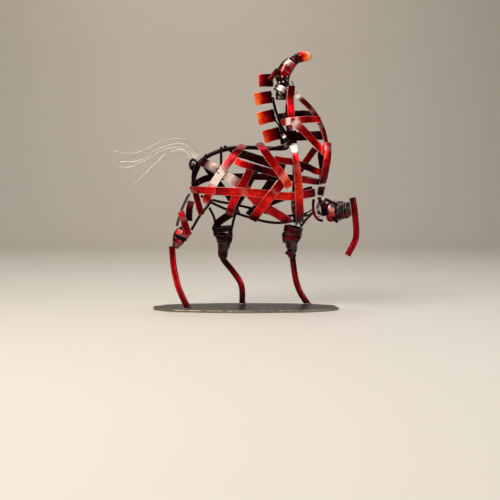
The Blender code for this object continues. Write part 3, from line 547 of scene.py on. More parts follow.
def strip_loop(width):
    """Places round a flat strip's cross-section, as share of its width and of its
    thickness, and 1 on its rims. A rim is a flattened half circle."""
    reach = 0.5 - RIM_ROUND / width
    angle = np.linspace(math.pi / 2, -math.pi / 2, 7)
    rim_wide = reach + (0.5 - reach) * np.abs(np.cos(angle)) ** 0.7
    rim_high = 0.5 + 0.5 * np.sign(np.sin(angle)) * np.abs(np.sin(angle)) ** 0.7
    top = np.linspace(-1, 1, 9) * (reach - 0.7 * RIM_ROUND / width)
    across = np.concatenate([top, rim_wide, top[::-2], -rim_wide[::-1]])
    high = np.concatenate([top * 0 + 1, rim_high, top[::-2] * 0, rim_high[::-1]])
    rims = np.concatenate([top * 0, rim_wide * 0 + 1, top[::-2] * 0, rim_wide * 0 + 1])
    return across, high, rims


def cuff(table, share, slant, slant_turn, width, lift, tones, bare):
    """One turn of strip round a sleeve: the strip's cross-section carried once round, its
    middle swinging along the sleeve by the slant. Width and lift are in millimetres."""
    across, high, rims = strip_loop(width * MM)
    length = travelled(table[:, :3])[-1]
    turn = around(SLEEVE_SIDES)[:, None]
    middle = (share + slant * np.cos(turn - math.radians(slant_turn))
              + CUFF_WANDER * np.sin(5 * turn))
    points = on_sleeve(table, np.clip(middle + across * width * MM / length, 0.0, 1.0), turn,
                       -CUFF_LIFT + MM * lift + (high * 0.6 - 0.1) * STRIP_THICKNESS)
    tone = np.interp(turn, np.linspace(0, 2 * math.pi, len(tones) + 1), tones + tones[:1])
    # Painted highlight: a pale streak on one fixed side of the cuff, put where the lamp's glint is
    # wanted.
    painted_glint = bare * np.maximum(0, np.cos(turn - GLINT_TURN)) ** GLINT_POWER
    return closed_shell(points, ring=True, tone=tone, edge=rims * (0.3 + tone), bare=painted_glint)


def sleeve_wall(table, tone, low, high):
    """The sleeve's own wall between two shares of its length, open at both ends: out along
    its outside, back inside."""
    share = np.concatenate([np.linspace(low, high, 30), np.linspace(high, low, 30)])[:, None]
    lift = -np.repeat([CUFF_LIFT, CUFF_WALL], 30)[:, None]
    return closed_shell(on_sleeve(table, share, around(SLEEVE_SIDES), lift), ring=True,
                        tone=tone)


def seam(table, share, lift, radius, tone=0.05, bare=0.0):
    """A lumpy line of weld once round a sleeve. Lift and radius are in millimetres."""
    turn = around(90)
    path = on_sleeve(table, share + 0.01 * np.sin(3 * turn), turn, lift * MM)
    lumps = 1 + 0.3 * np.sin(13 * turn) * np.sin(4 * turn + 1)
    return tube(path, radius * MM * lumps, sides=8, ring=True, tone=tone,
                bare=bare * (np.sin(9 * turn) > 0.7)[:, None])


def sleeve_shells(stations, cuffs, tone=0.03, facets=0.09, walls=((0.0, 1.0),), seams=()):
    """The walls of a sleeve, the turns of strip on it and the lines of weld round it. Unless
    told otherwise the walls are near-black, painted shade for the hollow between the turns.
    """
    table = sleeve_frame(stations, facets)
    return ([sleeve_wall(table, tone, *reach) for reach in walls]
            + [cuff(table, *one) for one in cuffs] + [seam(table, *one) for one in seams])


for name, slot, stations, cuffs, seams in SLEEVES:
    dress(name, sleeve_shells(stations, cuffs, seams=seams), slot)


# Bars of the cage
# The spine, belly, crest and thigh bars are round rods that the strips are welded onto,
# blackened by the torch. The spine and the belly's two lie just inside one smooth form: a
# barrel and a neck.
SPINE_BAR_RADIUS = 0.0038
BODY_SHIFT = 0.004
BARREL_MIDDLE_X = 0.020
BARREL_HALF_LENGTH = 0.117
BARREL_HALF_HEIGHT = 0.066
BARREL_TAPER = 0.11
BARREL_HALF_WIDTH = 0.038
BARREL_LOWEST_X = 0.060
BARREL_LOWEST_MIDDLE = 0.2135
BARREL_SAG = 0.0145
BARREL_SAG_REACH = 0.075
BARREL_POWER = 2.4
NECK_LEVELS = (  # height, back edge, front edge and half thickness
    (236, 84, 143, 32), (262, 82, 147, 32), (282, 78, 147, 31), (311, 69, 143, 28),
    (336, 58, 132, 25), (352, 53, 121, 22), (364, 50, 109, 19), (372, 48, 98, 17),
    (388, 50, 87, 14))
NECK_POWER = 2.2
NECK_CLOSE = 0.020
FORM_BLEND = 0.004
SLOPE_STEP = 0.0004
ROD_ROW_SPACING = 0.012
SPINE = (
    (78, 292, 4), (55, 290, 4), (18, 290, 4), (-11, 290, 4), (-32, 288, 4), (-50, 283, 4),
    (-70, 272, 4), (-88, 256, 4), (-97, 234, 4), (-99, 206, 4))
RUMP_BRACES = (
    ((-70, 269, 2), (-80, 252, -5), (-88, 234, -6), (-94.5, 213, 2)),
    ((-43.5, 282, 3), (-43.5, 262, -12), (-43.5, 245, -22)),
    ((-38, 284, 4), (-24, 273, 12), (-16, 264, 16)),
)
NEAR_BELLY = (
    (-88, 186, -12), (-62, 176, -13), (-40, 168, -13), (-15, 159, -13), (10, 152, -13),
    (35, 146, -13), (64, 144, -13), (92, 148, -13), (112, 160, -13))
FAR_BELLY = (
    (-64, 183, 30), (-30, 180, 34), (2, 174, 36), (29, 166, 36), (54, 159, 36), (80, 156, 34),
    (106, 162, 30))
CREST_ROD = (
    (47, 370, 4), (48.4, 363, 4), (51.8, 349, 4), (56.6, 334.9, 4), (62, 320.7, 4), (67.3, 311, 4),
    (71.5, 300.5, 4))
NEAR_THIGH_ROD = ((-60, 190, -30), (-65.9, 179.5, -33), (-79.8, 162.2, -35), (-94.5, 137.5, -34.5))
ELBOW_LOOP = (
    (118, 190.5, -22), (117.2, 178, -24), (119, 165, -26), (125.5, 156, -28), (134, 153, -29))
ELBOW_BRACE = ((100, 143, 30), (108, 156, 5), (118, 168, -26))
ELBOW_CURL = (0.1255, -0.0285, 0.1690)  # x, y and z in the scene


def form_distance(q):
    """Rough distance outside the horse form: a rounded barrel whose middle sags under the
    withers and a neck given by its levels, joined by a soft minimum."""
    x, y, z = q[:, 0], q[:, 1] - BODY_SHIFT, q[:, 2]
    past_lowest = (x - BARREL_LOWEST_X) / BARREL_SAG_REACH
    middle = BARREL_LOWEST_MIDDLE + BARREL_SAG * (1 - np.exp(-past_lowest ** 2))
    half_height = BARREL_HALF_HEIGHT + BARREL_TAPER * x
    barrel = (np.abs((x - BARREL_MIDDLE_X) / BARREL_HALF_LENGTH) ** BARREL_POWER
              + np.abs((z - middle) / half_height) ** BARREL_POWER
              + np.abs(y / BARREL_HALF_WIDTH) ** BARREL_POWER) ** (1 / BARREL_POWER)
    level, back, front, half = metres(NECK_LEVELS).T
    back = np.interp(z, level, back)
    front = np.interp(z, level, front)
    half = np.interp(z, level, half)
    past_end = np.maximum(np.maximum(level[0] - z, z - level[-1]), 0) / NECK_CLOSE
    neck = (np.abs((x - (front + back) / 2) / ((front - back) / 2)) ** NECK_POWER
            + np.abs(y / half) ** NECK_POWER + past_end ** NECK_POWER) ** (1 / NECK_POWER)
    barrel = (barrel - 1) * BARREL_HALF_WIDTH
    neck = (neck - 1) * half
    low = np.minimum(barrel, neck)
    return low - FORM_BLEND * np.log(np.exp((low - barrel) / FORM_BLEND)
                                     + np.exp((low - neck) / FORM_BLEND))


def form_slope(q):
    """Gradient of the form distance by central differences."""
    return np.stack([(form_distance(q + step) - form_distance(q - step)) / (2 * SLOPE_STEP)
                     for step in SLOPE_STEP * np.eye(3)], axis=1)


def on_form(q):
    """Points moved along the slope onto the form, and the outward normals there."""
    for _ in range(8):
        slope = form_slope(q)
        q = q - slope * (form_distance(q) / (slope ** 2).sum(axis=1))[:, None]
    return q, unit(form_slope(q))


def form_rod(route, radius, tones):
    """Round rod just under the form. Its coarse points sink onto the form, then a smooth
    curve is drawn through them."""
    route = metres(route)
    count = max(6, int(round(travelled(route[:, :2])[-1] / ROD_ROW_SPACING)))
    path = smooth_route(route, np.linspace(0, 1, count))
    surface, normal = on_form(path[:, [0, 2, 1]])
    sunk = surface - normal * (radius + WELD_GAP)
    shares = even_shares(sunk)
    middle = smooth_route(sunk, shares, measured=3) + (0, 0, PLATE_TOP)
    return tube(middle, radius, tone=spread(tones, shares)[:, None])


def coil(middle, radius, wire, turns, start=0.0, lean=0.0, squash=1.0, pitch=0.0012, tone=0.05):
    """A scrap of wire curled in the side view: a circle that widens from 0.8 to 1.05 of the
    radius and climbs towards the camera by the pitch each turn."""
    t = np.linspace(0, 1, int(40 * turns) + 8)
    angle = start + 2 * math.pi * turns * t
    size = radius * (0.8 + 0.25 * t)
    path = np.stack([np.cos(angle) * size, -pitch * turns * t,
                     np.sin(angle) * size * squash], axis=1)
    turned = np.stack([path[:, 0] * math.cos(lean) - path[:, 2] * math.sin(lean), path[:, 1],
                       path[:, 0] * math.sin(lean) + path[:, 2] * math.cos(lean)], axis=1)
    return tube(np.asarray(middle) + turned, wire, sides=10, tone=tone)


dress("spine_bar", [form_rod(SPINE, SPINE_BAR_RADIUS, (0.12, 0.05, 0.04, 0.06))]
      + [bar(route, FRAME_ROD_RADIUS, (0.05, 0.08, 0.05)) for route in RUMP_BRACES])
dress("near_belly_rod", [form_rod(NEAR_BELLY, FRAME_ROD_RADIUS, (0.05, 0.1, 0.04))])
dress("far_belly_rod", [form_rod(FAR_BELLY, FRAME_ROD_RADIUS, (0.04, 0.06))])
dress("crest_rod", [bar(CREST_ROD, FRAME_ROD_RADIUS, (0.08, 0.05, 0.10))])
dress("near_thigh_rod", [bar(NEAR_THIGH_ROD, FRAME_ROD_RADIUS, (0.06, 0.1, 0.05))])
dress("elbow_rods", [bar(ELBOW_LOOP, FRAME_ROD_RADIUS, (0.06, 0.3, 0.4, 0.1)),
                     bar(ELBOW_BRACE, FRAME_ROD_RADIUS, (0.05, 0.08)),
                     coil(ELBOW_CURL, 0.0048, 0.0008, 1.2, lean=0.4, tone=0.5)])


# Flank strips
# Mild steel strip 12 to 16 mm wide and 1.4 mm thick, cut with shears, bent over the bars by
# hand, tacked where strips cross, burnished and lacquered. Far ones, seen from inside through
# the cage, are given much darker tones: painted shade.
NEAR = -1.0
FAR = 1.0
WIDE_STRIP = 0.0158
BODY_STRIP = 0.0140
SLIM_STRIP = 0.0120
LAYER_STEP = 0.0021
STRIP_ROW_SPACING = 0.0098
CORNER_ROUND = 0.0016
HAND_CUT = 0.012
LONG_WAVER = 0.0046
SHORT_WAVER = 0.0027
END_WEAR = 0.0006
FLANK_STRIPS = (
    # node, side, width, tones, pale places, painted highlights and light burnishing (share,
    # half length, how pale), and route: x, height and the layer that the strip lies in
    ("near_rump_to_elbow_strip", NEAR, WIDE_STRIP,
     (0.06, 0.16, 0.42, 0.60, 0.58, 0.46, 0.50, 0.38), ((0.15, 0.05, 0.2), (0.32, 0.06, 1.2)),
     ((-77, 257, 0.2), (-69, 252, 0.1), (-42, 237, 0), (-5, 212, 0), (16, 190, 0), (36, 176, 0),
      (55, 165, 0.1), (75, 153, 0.4))),
    ("near_loin_strip", NEAR, BODY_STRIP, (0.24, 0.36, 0.44, 0.58, 0.62, 0.56),
     ((0.54, 0.09, 3.0),),
     ((-4, 283, 1), (-9, 278, 1), (-23, 262, 1), (-36, 246, 1), (-52, 223, 1), (-64, 200, 1),
      (-72, 180, 1))),
    ("near_belt_rear", NEAR, SLIM_STRIP, (0.46, 0.60, 0.62), (),
     ((-93, 209, 2), (-74, 208, 2), (-51, 207, 2.9))),
    ("near_belt_front", NEAR, BODY_STRIP, (0.30, 0.60, 0.66, 0.62, 0.66, 0.66, 0.20),
     ((0.30, 0.03, 0.15),),
     ((-56, 206, 1.9), (-35, 205, 2), (-10, 204, 2), (28, 201, 2), (72, 196, 2), (98, 199, 1.9),
      (119, 203, 1.2))),
    ("near_girth_strip", NEAR, WIDE_STRIP, (0.46, 0.62, 0.64, 0.54, 0.36), ((0.30, 0.04, 0.15),),
     ((66, 226, 3), (58, 215, 3), (41, 195, 3), (24, 174, 2.4), (12, 157, 1.4))),
    ("near_middle_strip", NEAR, BODY_STRIP, (0.48, 0.56, 0.62, 0.56, 0.40), (),
     ((12, 252, 1), (9, 245, 1), (-5, 216, 1), (-19, 192, 1), (-29, 167, 1))),
    ("near_withers_strip", NEAR, BODY_STRIP, (0.34, 0.44, 0.56, 0.68, 0.80, 0.76),
     ((0.78, 0.05, 0.3),),
     ((22, 283, 2.6), (26, 278, 3), (35, 266, 3), (50, 247, 3), (66, 226, 4), (74, 211, 4))),
    ("near_rib_strip", NEAR, SLIM_STRIP, (0.72, 0.52, 0.14, 0.36, 0.46), (),
     ((-18, 256, 2), (-10, 252, 2), (17, 244, 2), (46, 236, 2), (60, 232, 2))),
    ("near_shoulder_strip", NEAR, BODY_STRIP, (0.16, 0.56, 0.74, 0.78, 0.70, 0.36, 0.16),
     ((0.035, 0.045, 3.0), (0.30, 0.06, 0.12)),
     ((85, 284, 2.2), (86, 276, 3), (88, 249, 3), (90, 214, 3), (91, 188, 3), (93, 154, 2))),
    ("near_chest_upper_band", NEAR, SLIM_STRIP, (0.50, 0.58, 0.50, 0.22, 0.20, 0.68, 0.60), (),
     ((49, 259, 1.6), (66, 256, 1.6), (82, 254, 1.4), (96, 250, 0.8), (110, 245, 0.2),
      (123, 239, 0), (139, 237, 0))),
    ("near_chest_lower_band", NEAR, SLIM_STRIP, (0.30, 0.42, 0.38, 0.24), (),
     ((82, 227, 1.3), (106, 224, 1), (122, 222, 0.5), (134, 222, 0.1))),
    # The far back panel is a wide near-black sheet: painted shade for the dark inside of the cage
    # below the back.
    ("far_back_panel", FAR, WIDE_STRIP, (0.10, 0.16, 0.20, 0.14), (),
     ((-20, 273, 1), (-3, 269, 1), (29, 259, 1), (70, 246, 1))),
    ("far_middle_strip", FAR, SLIM_STRIP, (0.16, 0.12, 0.08), (),
     ((20, 248, 2), (9, 226, 2), (-4, 202, 2), (-26, 168, 1))),
    ("far_girth_strip", FAR, BODY_STRIP, (0.18, 0.14, 0.08), (),
     ((62, 249, 2.6), (49, 228, 2), (34, 206, 2), (18, 178, 1))),
    ("far_belt", FAR, SLIM_STRIP, (0.08, 0.12, 0.18, 0.14, 0.10), (),
     ((-94, 216, 1), (-65, 229, 1), (-11, 231, 1), (52, 230, 1), (106, 227, 1), (131, 222, 0.8))),
    ("far_flank_strip", FAR, SLIM_STRIP, (0.06, 0.12, 0.10), (),
     ((-72, 250, 0), (-61, 234, 0), (-43, 211, 0), (-27, 190, 0), (-15, 165, 0))),
    ("far_elbow_strip", FAR, SLIM_STRIP, (0.06, 0.12, 0.10), (),
     ((4, 163, 0), (16, 174, 0), (40, 183, 0), (79, 197, 0), (119, 209, 0))),
    ("far_shoulder_strip", FAR, BODY_STRIP, (0.10, 0.20, 0.22, 0.16, 0.10), (),
     ((88, 283, 2), (90, 272, 3), (90, 242, 3), (89, 206, 3), (87, 179, 2.6), (91, 153, 1.6))),
    ("far_chest_strip", FAR, SLIM_STRIP, (0.30, 0.52, 0.30), (),
     ((96, 240, 0), (109, 260, 0), (124, 281, 0))),
)


def lay_on_form(xz, side):
    """Side-view points moved straight across the horse until they meet the form, found by
    halving the reach thirty times."""
    inner = np.zeros(len(xz))
    outer = np.full(len(xz), 2 * BARREL_HALF_WIDTH)
    for _ in range(30):
        reach = (inner + outer) / 2
        outside = form_distance(np.stack([xz[:, 0], BODY_SHIFT + side * reach, xz[:, 1]],
                                         axis=1)) > 0
        outer = np.where(outside, reach, outer)
        inner = np.where(outside, inner, reach)
    return on_form(np.stack([xz[:, 0], BODY_SHIFT + side * inner, xz[:, 1]], axis=1))


def strip(middle, left, right, out, lift, width, thickness, tones, bare=(), seed=0):
    """Flat strip through coarse rows of three points, each with its outward direction. Rows
    are smoothed along the strip and curved across it by a parabola through the three; the
    ends have rounded corners and the sides waver as a hand cut does."""
    table = np.hstack([middle, left, right, *out, lift])
    length = travelled(middle)[-1]
    ends = np.array([0.0, 0.0002, 0.0005, 0.0010, CORNER_ROUND])
    between = np.linspace(CORNER_ROUND, length - CORNER_ROUND,
                          max(4, int(length / ROW_SPACING)))[1:-1]
    distance = np.concatenate([ends, between, length - ends[::-1]])
    shares = distance / length
    fine = smooth_route(table, shares, measured=3)
    across, high, rims = strip_loop(width)
    from_end = np.minimum(distance, length - distance)
    bend = 1 - np.clip(from_end / CORNER_ROUND, 0, 1)
    cut = CORNER_ROUND * (1 - np.sqrt(1 - bend ** 2)) / (width / 2)
    waver = HAND_CUT * (np.sin(distance / LONG_WAVER + seed)
                        + np.sin(distance / SHORT_WAVER + 2 * seed))
    t = 2 * across[None, :] * (1 - cut + waver)[:, None]
    weights = np.stack([1 - t ** 2, t * (t - 1) / 2, t * (t + 1) / 2], axis=-1)
    surface, outward = (np.einsum("rck,rlc->rlk", columns.reshape(-1, 3, 3), weights)
                        for columns in (fine[:, :9], fine[:, 9:18]))
    raised = fine[:, 18:19] + high[None, :] * thickness
    # Pale patches at the listed places, on the strip's top face: painted highlights for the white
    # glints, and light burnishing where the amount is small.
    painted_glint = sum((amount * np.exp(-((shares - at) / half) ** 2) for at, half, amount in bare),
                0.0 * shares)
    tone = spread(tones, shares)[:, None]
    whitening = np.maximum(rims[None, :], np.exp(-from_end / END_WEAR)[:, None]) * (0.3 + tone)
    return closed_shell(surface + unit(outward) * raised[..., None], tone=tone, edge=whitening,
                        bare=painted_glint[:, None] * high[None, :])


def form_strip(side, width, tones, bare, route, seed):
    """Strip laid on the horse form, moved out by its layer."""
    route = np.array(route) * (MM, MM, 1)
    count = max(5, int(round(travelled(route[:, :2])[-1] / STRIP_ROW_SPACING)) + 1)
    path = smooth_route(route, np.linspace(0, 1, count))
    middle, normal = lay_on_form(path[:, :2], side)
    across = unit(np.cross(np.gradient(middle, axis=0), normal))
    columns = [on_form(middle + across * width * share) for share in (0.0, -0.5, 0.5)]
    surfaces = [surface + (0, 0, PLATE_TOP) for surface, _ in columns]
    return strip(*surfaces, [out for _, out in columns], path[:, 2:3] * LAYER_STEP + WELD_GAP,
                 width, STRIP_THICKNESS, tones, bare, seed)


def dress_strips(table, first_seed):
    """A piece for each strip of a table, red on the near side and dark on the far one, whose
    dark tones are painted shade for the inside of the cage.
    """
    for seed, (name, side, *shape) in enumerate(table, first_seed):
        slot = "red_lacquer" if side == NEAR else "dark_lacquer"
        dress(name, [form_strip(side, *shape, seed)], slot)


dress_strips(FLANK_STRIPS, 0)


# Neck and chest strips
# The neck is the same cage, of slimmer strip: one strip down its side, one down its front,
# which another carries on over the chest, and bands between them.
NECK_STRIPS = (
    ("neck_side_strip", NEAR, SLIM_STRIP, (0.32, 0.46, 0.54, 0.56, 0.50), (),
     ((79, 388, 1), (78, 376, 1), (77, 365, 1), (79, 343, 1), (81, 316, 1))),
    ("neck_upper_band", NEAR, SLIM_STRIP, (0.60, 0.60, 0.62, 0.62, 0.56),
     ((0.20, 0.045, 3.0), (0.42, 0.05, 0.5)),
     ((66, 326.2, 2), (76, 326.2, 2), (92, 327, 2), (112, 328, 2), (127, 327, 2))),
    ("neck_diagonal_strip", NEAR, SLIM_STRIP, (0.50, 0.60, 0.58, 0.54), ((0.06, 0.09, 0.9),),
     ((84, 326, 3.2), (94, 315.5, 3.2), (103, 306, 3), (114, 293, 2.6), (126, 280, 2),
      (136, 268.5, 1.9))),
    ("chest_front_strip", NEAR, BODY_STRIP, (0.68, 0.66, 0.60, 0.48, 0.32, 0.20, 0.10),
     ((0.10, 0.04, 0.3), (0.78, 0.025, 1.6)),
     ((137.5, 288, 3.2), (138, 276, 3.2), (137, 261, 3.2), (134, 240, 2.8), (130.5, 222, 2.6),
      (127, 204, 2.4), (126.2, 198.5, 2.4))),
    ("neck_front_strip", NEAR, SLIM_STRIP, (0.40, 0.44, 0.50, 0.48, 0.44, 0.50),
     ((0.06, 0.045, 2.0), (0.38, 0.04, 0.3), (0.66, 0.03, 0.3)),
     ((86, 375, 0), (95.5, 365.5, 0), (109, 352.5, 0), (121, 337, 0), (131, 318, 0), (138, 297, 0),
      (140.5, 281, 0))),
    ("far_neck_side_strip", FAR, SLIM_STRIP, (0.10, 0.16, 0.12), (),
     ((78, 374, 1), (77, 352, 1), (78, 322, 1), (84, 292, 1))),
    ("far_neck_upper_band", FAR, SLIM_STRIP, (0.08, 0.14, 0.10), (),
     ((60, 337, 2), (87, 342, 2), (110, 341, 2), (124, 336, 1))),
    ("far_neck_lower_band", FAR, WIDE_STRIP, (0.08, 0.16, 0.14, 0.10), (),
     ((68, 310, 2.9), (85, 304, 2.4), (104, 303, 2), (122, 304, 2), (137, 303, 2))),
    ("far_chest_front_strip", FAR, BODY_STRIP, (0.12, 0.18, 0.10), (),
     ((135, 287, 1), (134, 268, 1), (136, 250, 1), (135, 230, 2), (131, 208, 2))),
)

dress_strips(NECK_STRIPS, 30)


# Thigh and arm strips
# Free lengths of the same strip carry the cage down to the sleeves, some face out and some
# edge out. The far hock's sleeve has two rods and a strip of its own welded to it.
LINK_STRIPS = (
    # node, slot, width, turn of the face in degrees, tones, pale places (painted highlights and
    # light burnishing) and route
    ("near_thigh_back_strip", "dark_lacquer", SLIM_STRIP, 68, (0.22, 0.34, 0.40), (),
     ((-99, 200, -20), (-107, 183, -27), (-114.5, 164, -31), (-120, 144, -33))),
    ("near_thigh_inner_strip", "dark_lacquer", SLIM_STRIP, 10, (0.06, 0.12, 0.06), (),
     ((-95, 188, -32.5), (-98, 172, -35), (-98.5, 153, -35.5))),
    ("near_flank_strip", "red_lacquer", SLIM_STRIP, -20, (0.40, 0.48, 0.44), (),
     ((-88, 201, -23.5), (-82, 180, -33), (-76.8, 164, -40.5))),
    ("near_thigh_front_strip", "red_lacquer", SLIM_STRIP, 0, (0.38, 0.44, 0.50, 0.44),
     ((0.35, 0.08, 0.1),),
     ((-112.5, 170, -41), (-107.5, 155, -44.5), (-102, 139, -46), (-98.5, 129, -46))),
    ("raised_upper_arm_strip", "dark_lacquer", SLIM_STRIP, 0, (0.06, 0.10, 0.06), (),
     ((130, 194, -21), (132, 186, -35), (134.5, 176, -43), (136.5, 162, -45.5))),
)
FAR_THIGH_STRIP = ((-16, 170, 40), (-33, 160.5, 42), (-50, 148, 42), (-56, 133, 41))


def link_strip(width, turn, tones, bare, route, seed):
    """Strip along a free route. Its face is turned from the side by the given angle."""
    middle = placed(smooth_route(metres(route), np.linspace(0, 1, 2 * len(route))))
    along, first, second = side_frame(middle)
    wide = first * math.cos(math.radians(turn)) + second * math.sin(math.radians(turn))
    out = np.cross(along, wide)
    return strip(middle, middle - wide * width / 2, middle + wide * width / 2, [out] * 3,
                 np.full((len(middle), 1), -STRIP_THICKNESS / 2), width, STRIP_THICKNESS,
                 tones, bare, seed)


for seed, (name, slot, *shape) in enumerate(LINK_STRIPS, 50):
    dress(name, [link_strip(*shape, seed)], slot)
dress("far_hock_sleeve",
      sleeve_shells(FAR_HOCK_SLEEVE, FAR_HOCK_CUFFS, walls=FAR_HOCK_WALLS, seams=FAR_HOCK_SEAMS)
      + [bar(route, FRAME_ROD_RADIUS, (0.05, 0.08)) for route in FAR_THIGH_RODS]
      + [link_strip(BODY_STRIP, 0, (0.08, 0.12, 0.06), (), FAR_THIGH_STRIP, 60)])


# Off-cuts and tacks
# Short ends of strip and wire are tacked over the joints at the withers, elbow, far hock and
# knee, most of them black from the torch, and a hook of wire is left on the loin.
OFFCUTS = (
    # name, node, strips (width, turn, tones, painted highlight places, route) and rods (radius,
    # route)
    ("withers", "crest_rod",
     ((23, 0, (0.10, 0.16, 0.12), (), ((60, 298.5, 8), (74, 300, 10), (90, 301, 12))),
      (8.5, 20, (0.04, 0.10, 0.04), ((0.5, 0.12, 0.3),),
       ((59, 280, -6), (70, 285, -7), (80, 291, -6))),
      (6, 30, (0.06, 0.04, 0.08), (), ((34, 276, -6), (50, 280, -7), (66, 284, -5))),
      (7, 10, (0.10, 0.06, 0.16), ((0.3, 0.1, 0.6),),
       ((64, 304, -4), (70, 296, -7), (72, 288, -6)))),
     ((1.5, ((52, 329, -1), (60, 316, -3), (64, 303, -1))),)),
    ("elbow", "elbow_rods",
     ((6, 25, (0.04, 0.12, 0.04), ((0.3, 0.08, 1.2),),
       ((126, 192.5, -30), (139, 190, -36), (151, 184, -39))),
      (5.5, 20, (0.05, 0.08, 0.04), ((0.6, 0.1, 0.5),),
       ((127, 186, -30), (124.5, 175, -32), (128, 164, -33))),
      (6, 0, (0.06, 0.12, 0.06), (), ((148, 160, -40), (153, 156, -41), (159, 151, -40)))),
     ((1.2, ((101, 165, -15), (110, 169, -21), (119, 175, -25))),
      (1.2, ((103, 160, -15), (112, 165, -21), (120, 171, -25))))),
    ("hock", "far_hock_sleeve",
     ((8.5, 0, (0.05, 0.08, 0.05), (), ((-56, 139, 29), (-55.2, 132, 29), (-54, 124, 30))),
      (8.5, 0, (0.05, 0.08, 0.05), (), ((-29, 139, 29), (-28.5, 132, 29), (-28.5, 124, 30)))), ()),
    ("knee", "far_knee_sleeve",
     ((6.5, 0, (0.26, 0.34, 0.20), (), ((71.5, 95.5, 34), (78, 91, 33.5), (85, 86.5, 34))),
      (7, 0, (0.20, 0.30, 0.24), (), ((68, 130, 33), (68.4, 121, 33), (70, 112, 34)))),
     ((1.4, ((88, 140, 30), (91.5, 147, 30), (94.5, 153, 30))),
      (1.4, ((100, 140, 32), (97, 147, 31), (94.5, 153, 30))))),
)

LOIN_HOOK_PLACE = (-47.4, 240)  # x and height in millimetres
LOIN_HOOK_OUT = 0.0050

for name, node, strips, rods in OFFCUTS:
    make_piece(name + "_offcuts_dressed",
               [link_strip(width * MM, *shape, seed)
                for seed, (width, *shape) in enumerate(strips, 70)]
               + [bar(route, radius * MM, (0.05, 0.10), sides=10) for radius, route in rods],
               lacquer, "dark_lacquer", node)
loin, outward = lay_on_form(metres([LOIN_HOOK_PLACE]), NEAR)
make_piece("loin_hook_dressed",
           [coil(loin[0] + outward[0] * LOIN_HOOK_OUT + (0, 0, PLATE_TOP), 0.0024, 0.0006, 0.8,
                 start=0.6, squash=2.0)], lacquer, "dark_lacquer", "near_loin_strip")


# Head
# A tapering shell of small curved cuts of strip, welded one over the next from the black
# poll to the bright muzzle cap, with a bent bar for each ear and a collar at the throat.
HEAD_SHELL = (
    (69, 387, 4, 8.6, 7.8), (65.6, 396.5, 4, 10.2, 8.8), (63.8, 404.5, 4, 12.6, 10),
    (66.4, 412.8, 4, 12.7, 11), (73.5, 424.3, 4, 12.2, 10.5), (82.3, 432.3, 4, 9.7, 8.5),
    (91.8, 438.1, 4, 8, 7))
HEAD_CUFFS = (
    (0.10, 0.02, 30, 10, 0.0, (0.04, 0.05, 0.05, 0.04), 0.0),
    (0.22, 0.03, 200, 10, 0.4, (0.04, 0.06, 0.05, 0.04), 0.0),
    (0.38, 0.04, 200, 11, 0.3, (0.20, 0.46, 0.40, 0.30), 0.0),
    (0.54, 0.04, 170, 12, 0.0, (0.24, 0.54, 0.52, 0.40), 0.1),
    (0.73, 0.04, 200, 11, 0.3, (0.24, 0.56, 0.48, 0.40), 1.2),
    (0.92, 0.03, 20, 10, 0.0, (0.14, 0.24, 0.20, 0.12), 0.0),
)
# Lines of weld round the head: share of its length, lift, radius, tone and how pale its specks
# are.
HEAD_SEAMS = (
    (0.02, -0.4, 1.2), (0.16, 0.2, 1.4, 0.04, 0.9), (0.30, 0.4, 1.5, 0.04, 0.9),
    (0.64, 0, 0.8, 0.3, 0.8), (1.02, -1.2, 2.2, 0.16, 0.0))
MUZZLE = (
    (94.5, 438.8, 4, 9, 8), (99, 440.8, 4, 9.2, 8.2), (105.5, 441.1, 4, 8.6, 7.4),
    (111.5, 441, 4, 6.2, 5.5), (115.5, 440.8, 4, 2.6, 2.6))
NECK_TOP_HOOP = ((64.2, 366, 4, 12.5, 10.4), (64.2, 380.5, 4, 12.5, 10.4))
THROAT_COLLAR = ((63, 377, 4, 17.8, 13.5), (68, 387, 4, 16.8, 12.5))
THROAT_WIRE = ((81.8, 378, 4), (83.8, 385, 4), (82.8, 393, 4), (79.5, 398.5, 4))
WIRE_RADIUS = 0.0009
NOSE_START = 0.88
NOSE_ROUND = 0.125
FOREHEAD_CURL = (0.0700, -0.0105, 0.4120)  # x, y and z in the scene
EAR_LENGTH = 0.0285
EAR_RADIUS = 0.0040
EAR_ROUTE = ((57, 418.5, 10.5), (47.5, 407.5, 14), (38.2, 397, 15.5))


def muzzle_cap(stations):
    """Closed cap: rings of the sleeve's wall that shrink to the nose's end."""
    table = sleeve_frame(stations)
    share = np.linspace(0, 1, 40)
    past_start = np.clip(share - NOSE_START, 0, 1) / NOSE_ROUND
    round_off = np.sqrt(np.clip(1 - past_start ** 2, 0.02, 1))
    turn = around(48)
    table[:, 9:11] *= np.interp(np.linspace(0, 1, len(table)), share, round_off)[:, None]
    # The pale patch near the nose's end, on its top and camera side, is a painted highlight.
    return closed_shell(on_sleeve(table, share[:, None], turn, 0.0),
                        tone=spread((0.30, 0.66, 0.84, 0.88, 0.94, 0.98), share)[:, None],
                        bare=(0.7 * np.exp(-((share - 0.72) / 0.14) ** 2))[:, None]
                        * np.maximum(0, np.cos(turn - 0.6))[None, :] ** 2)


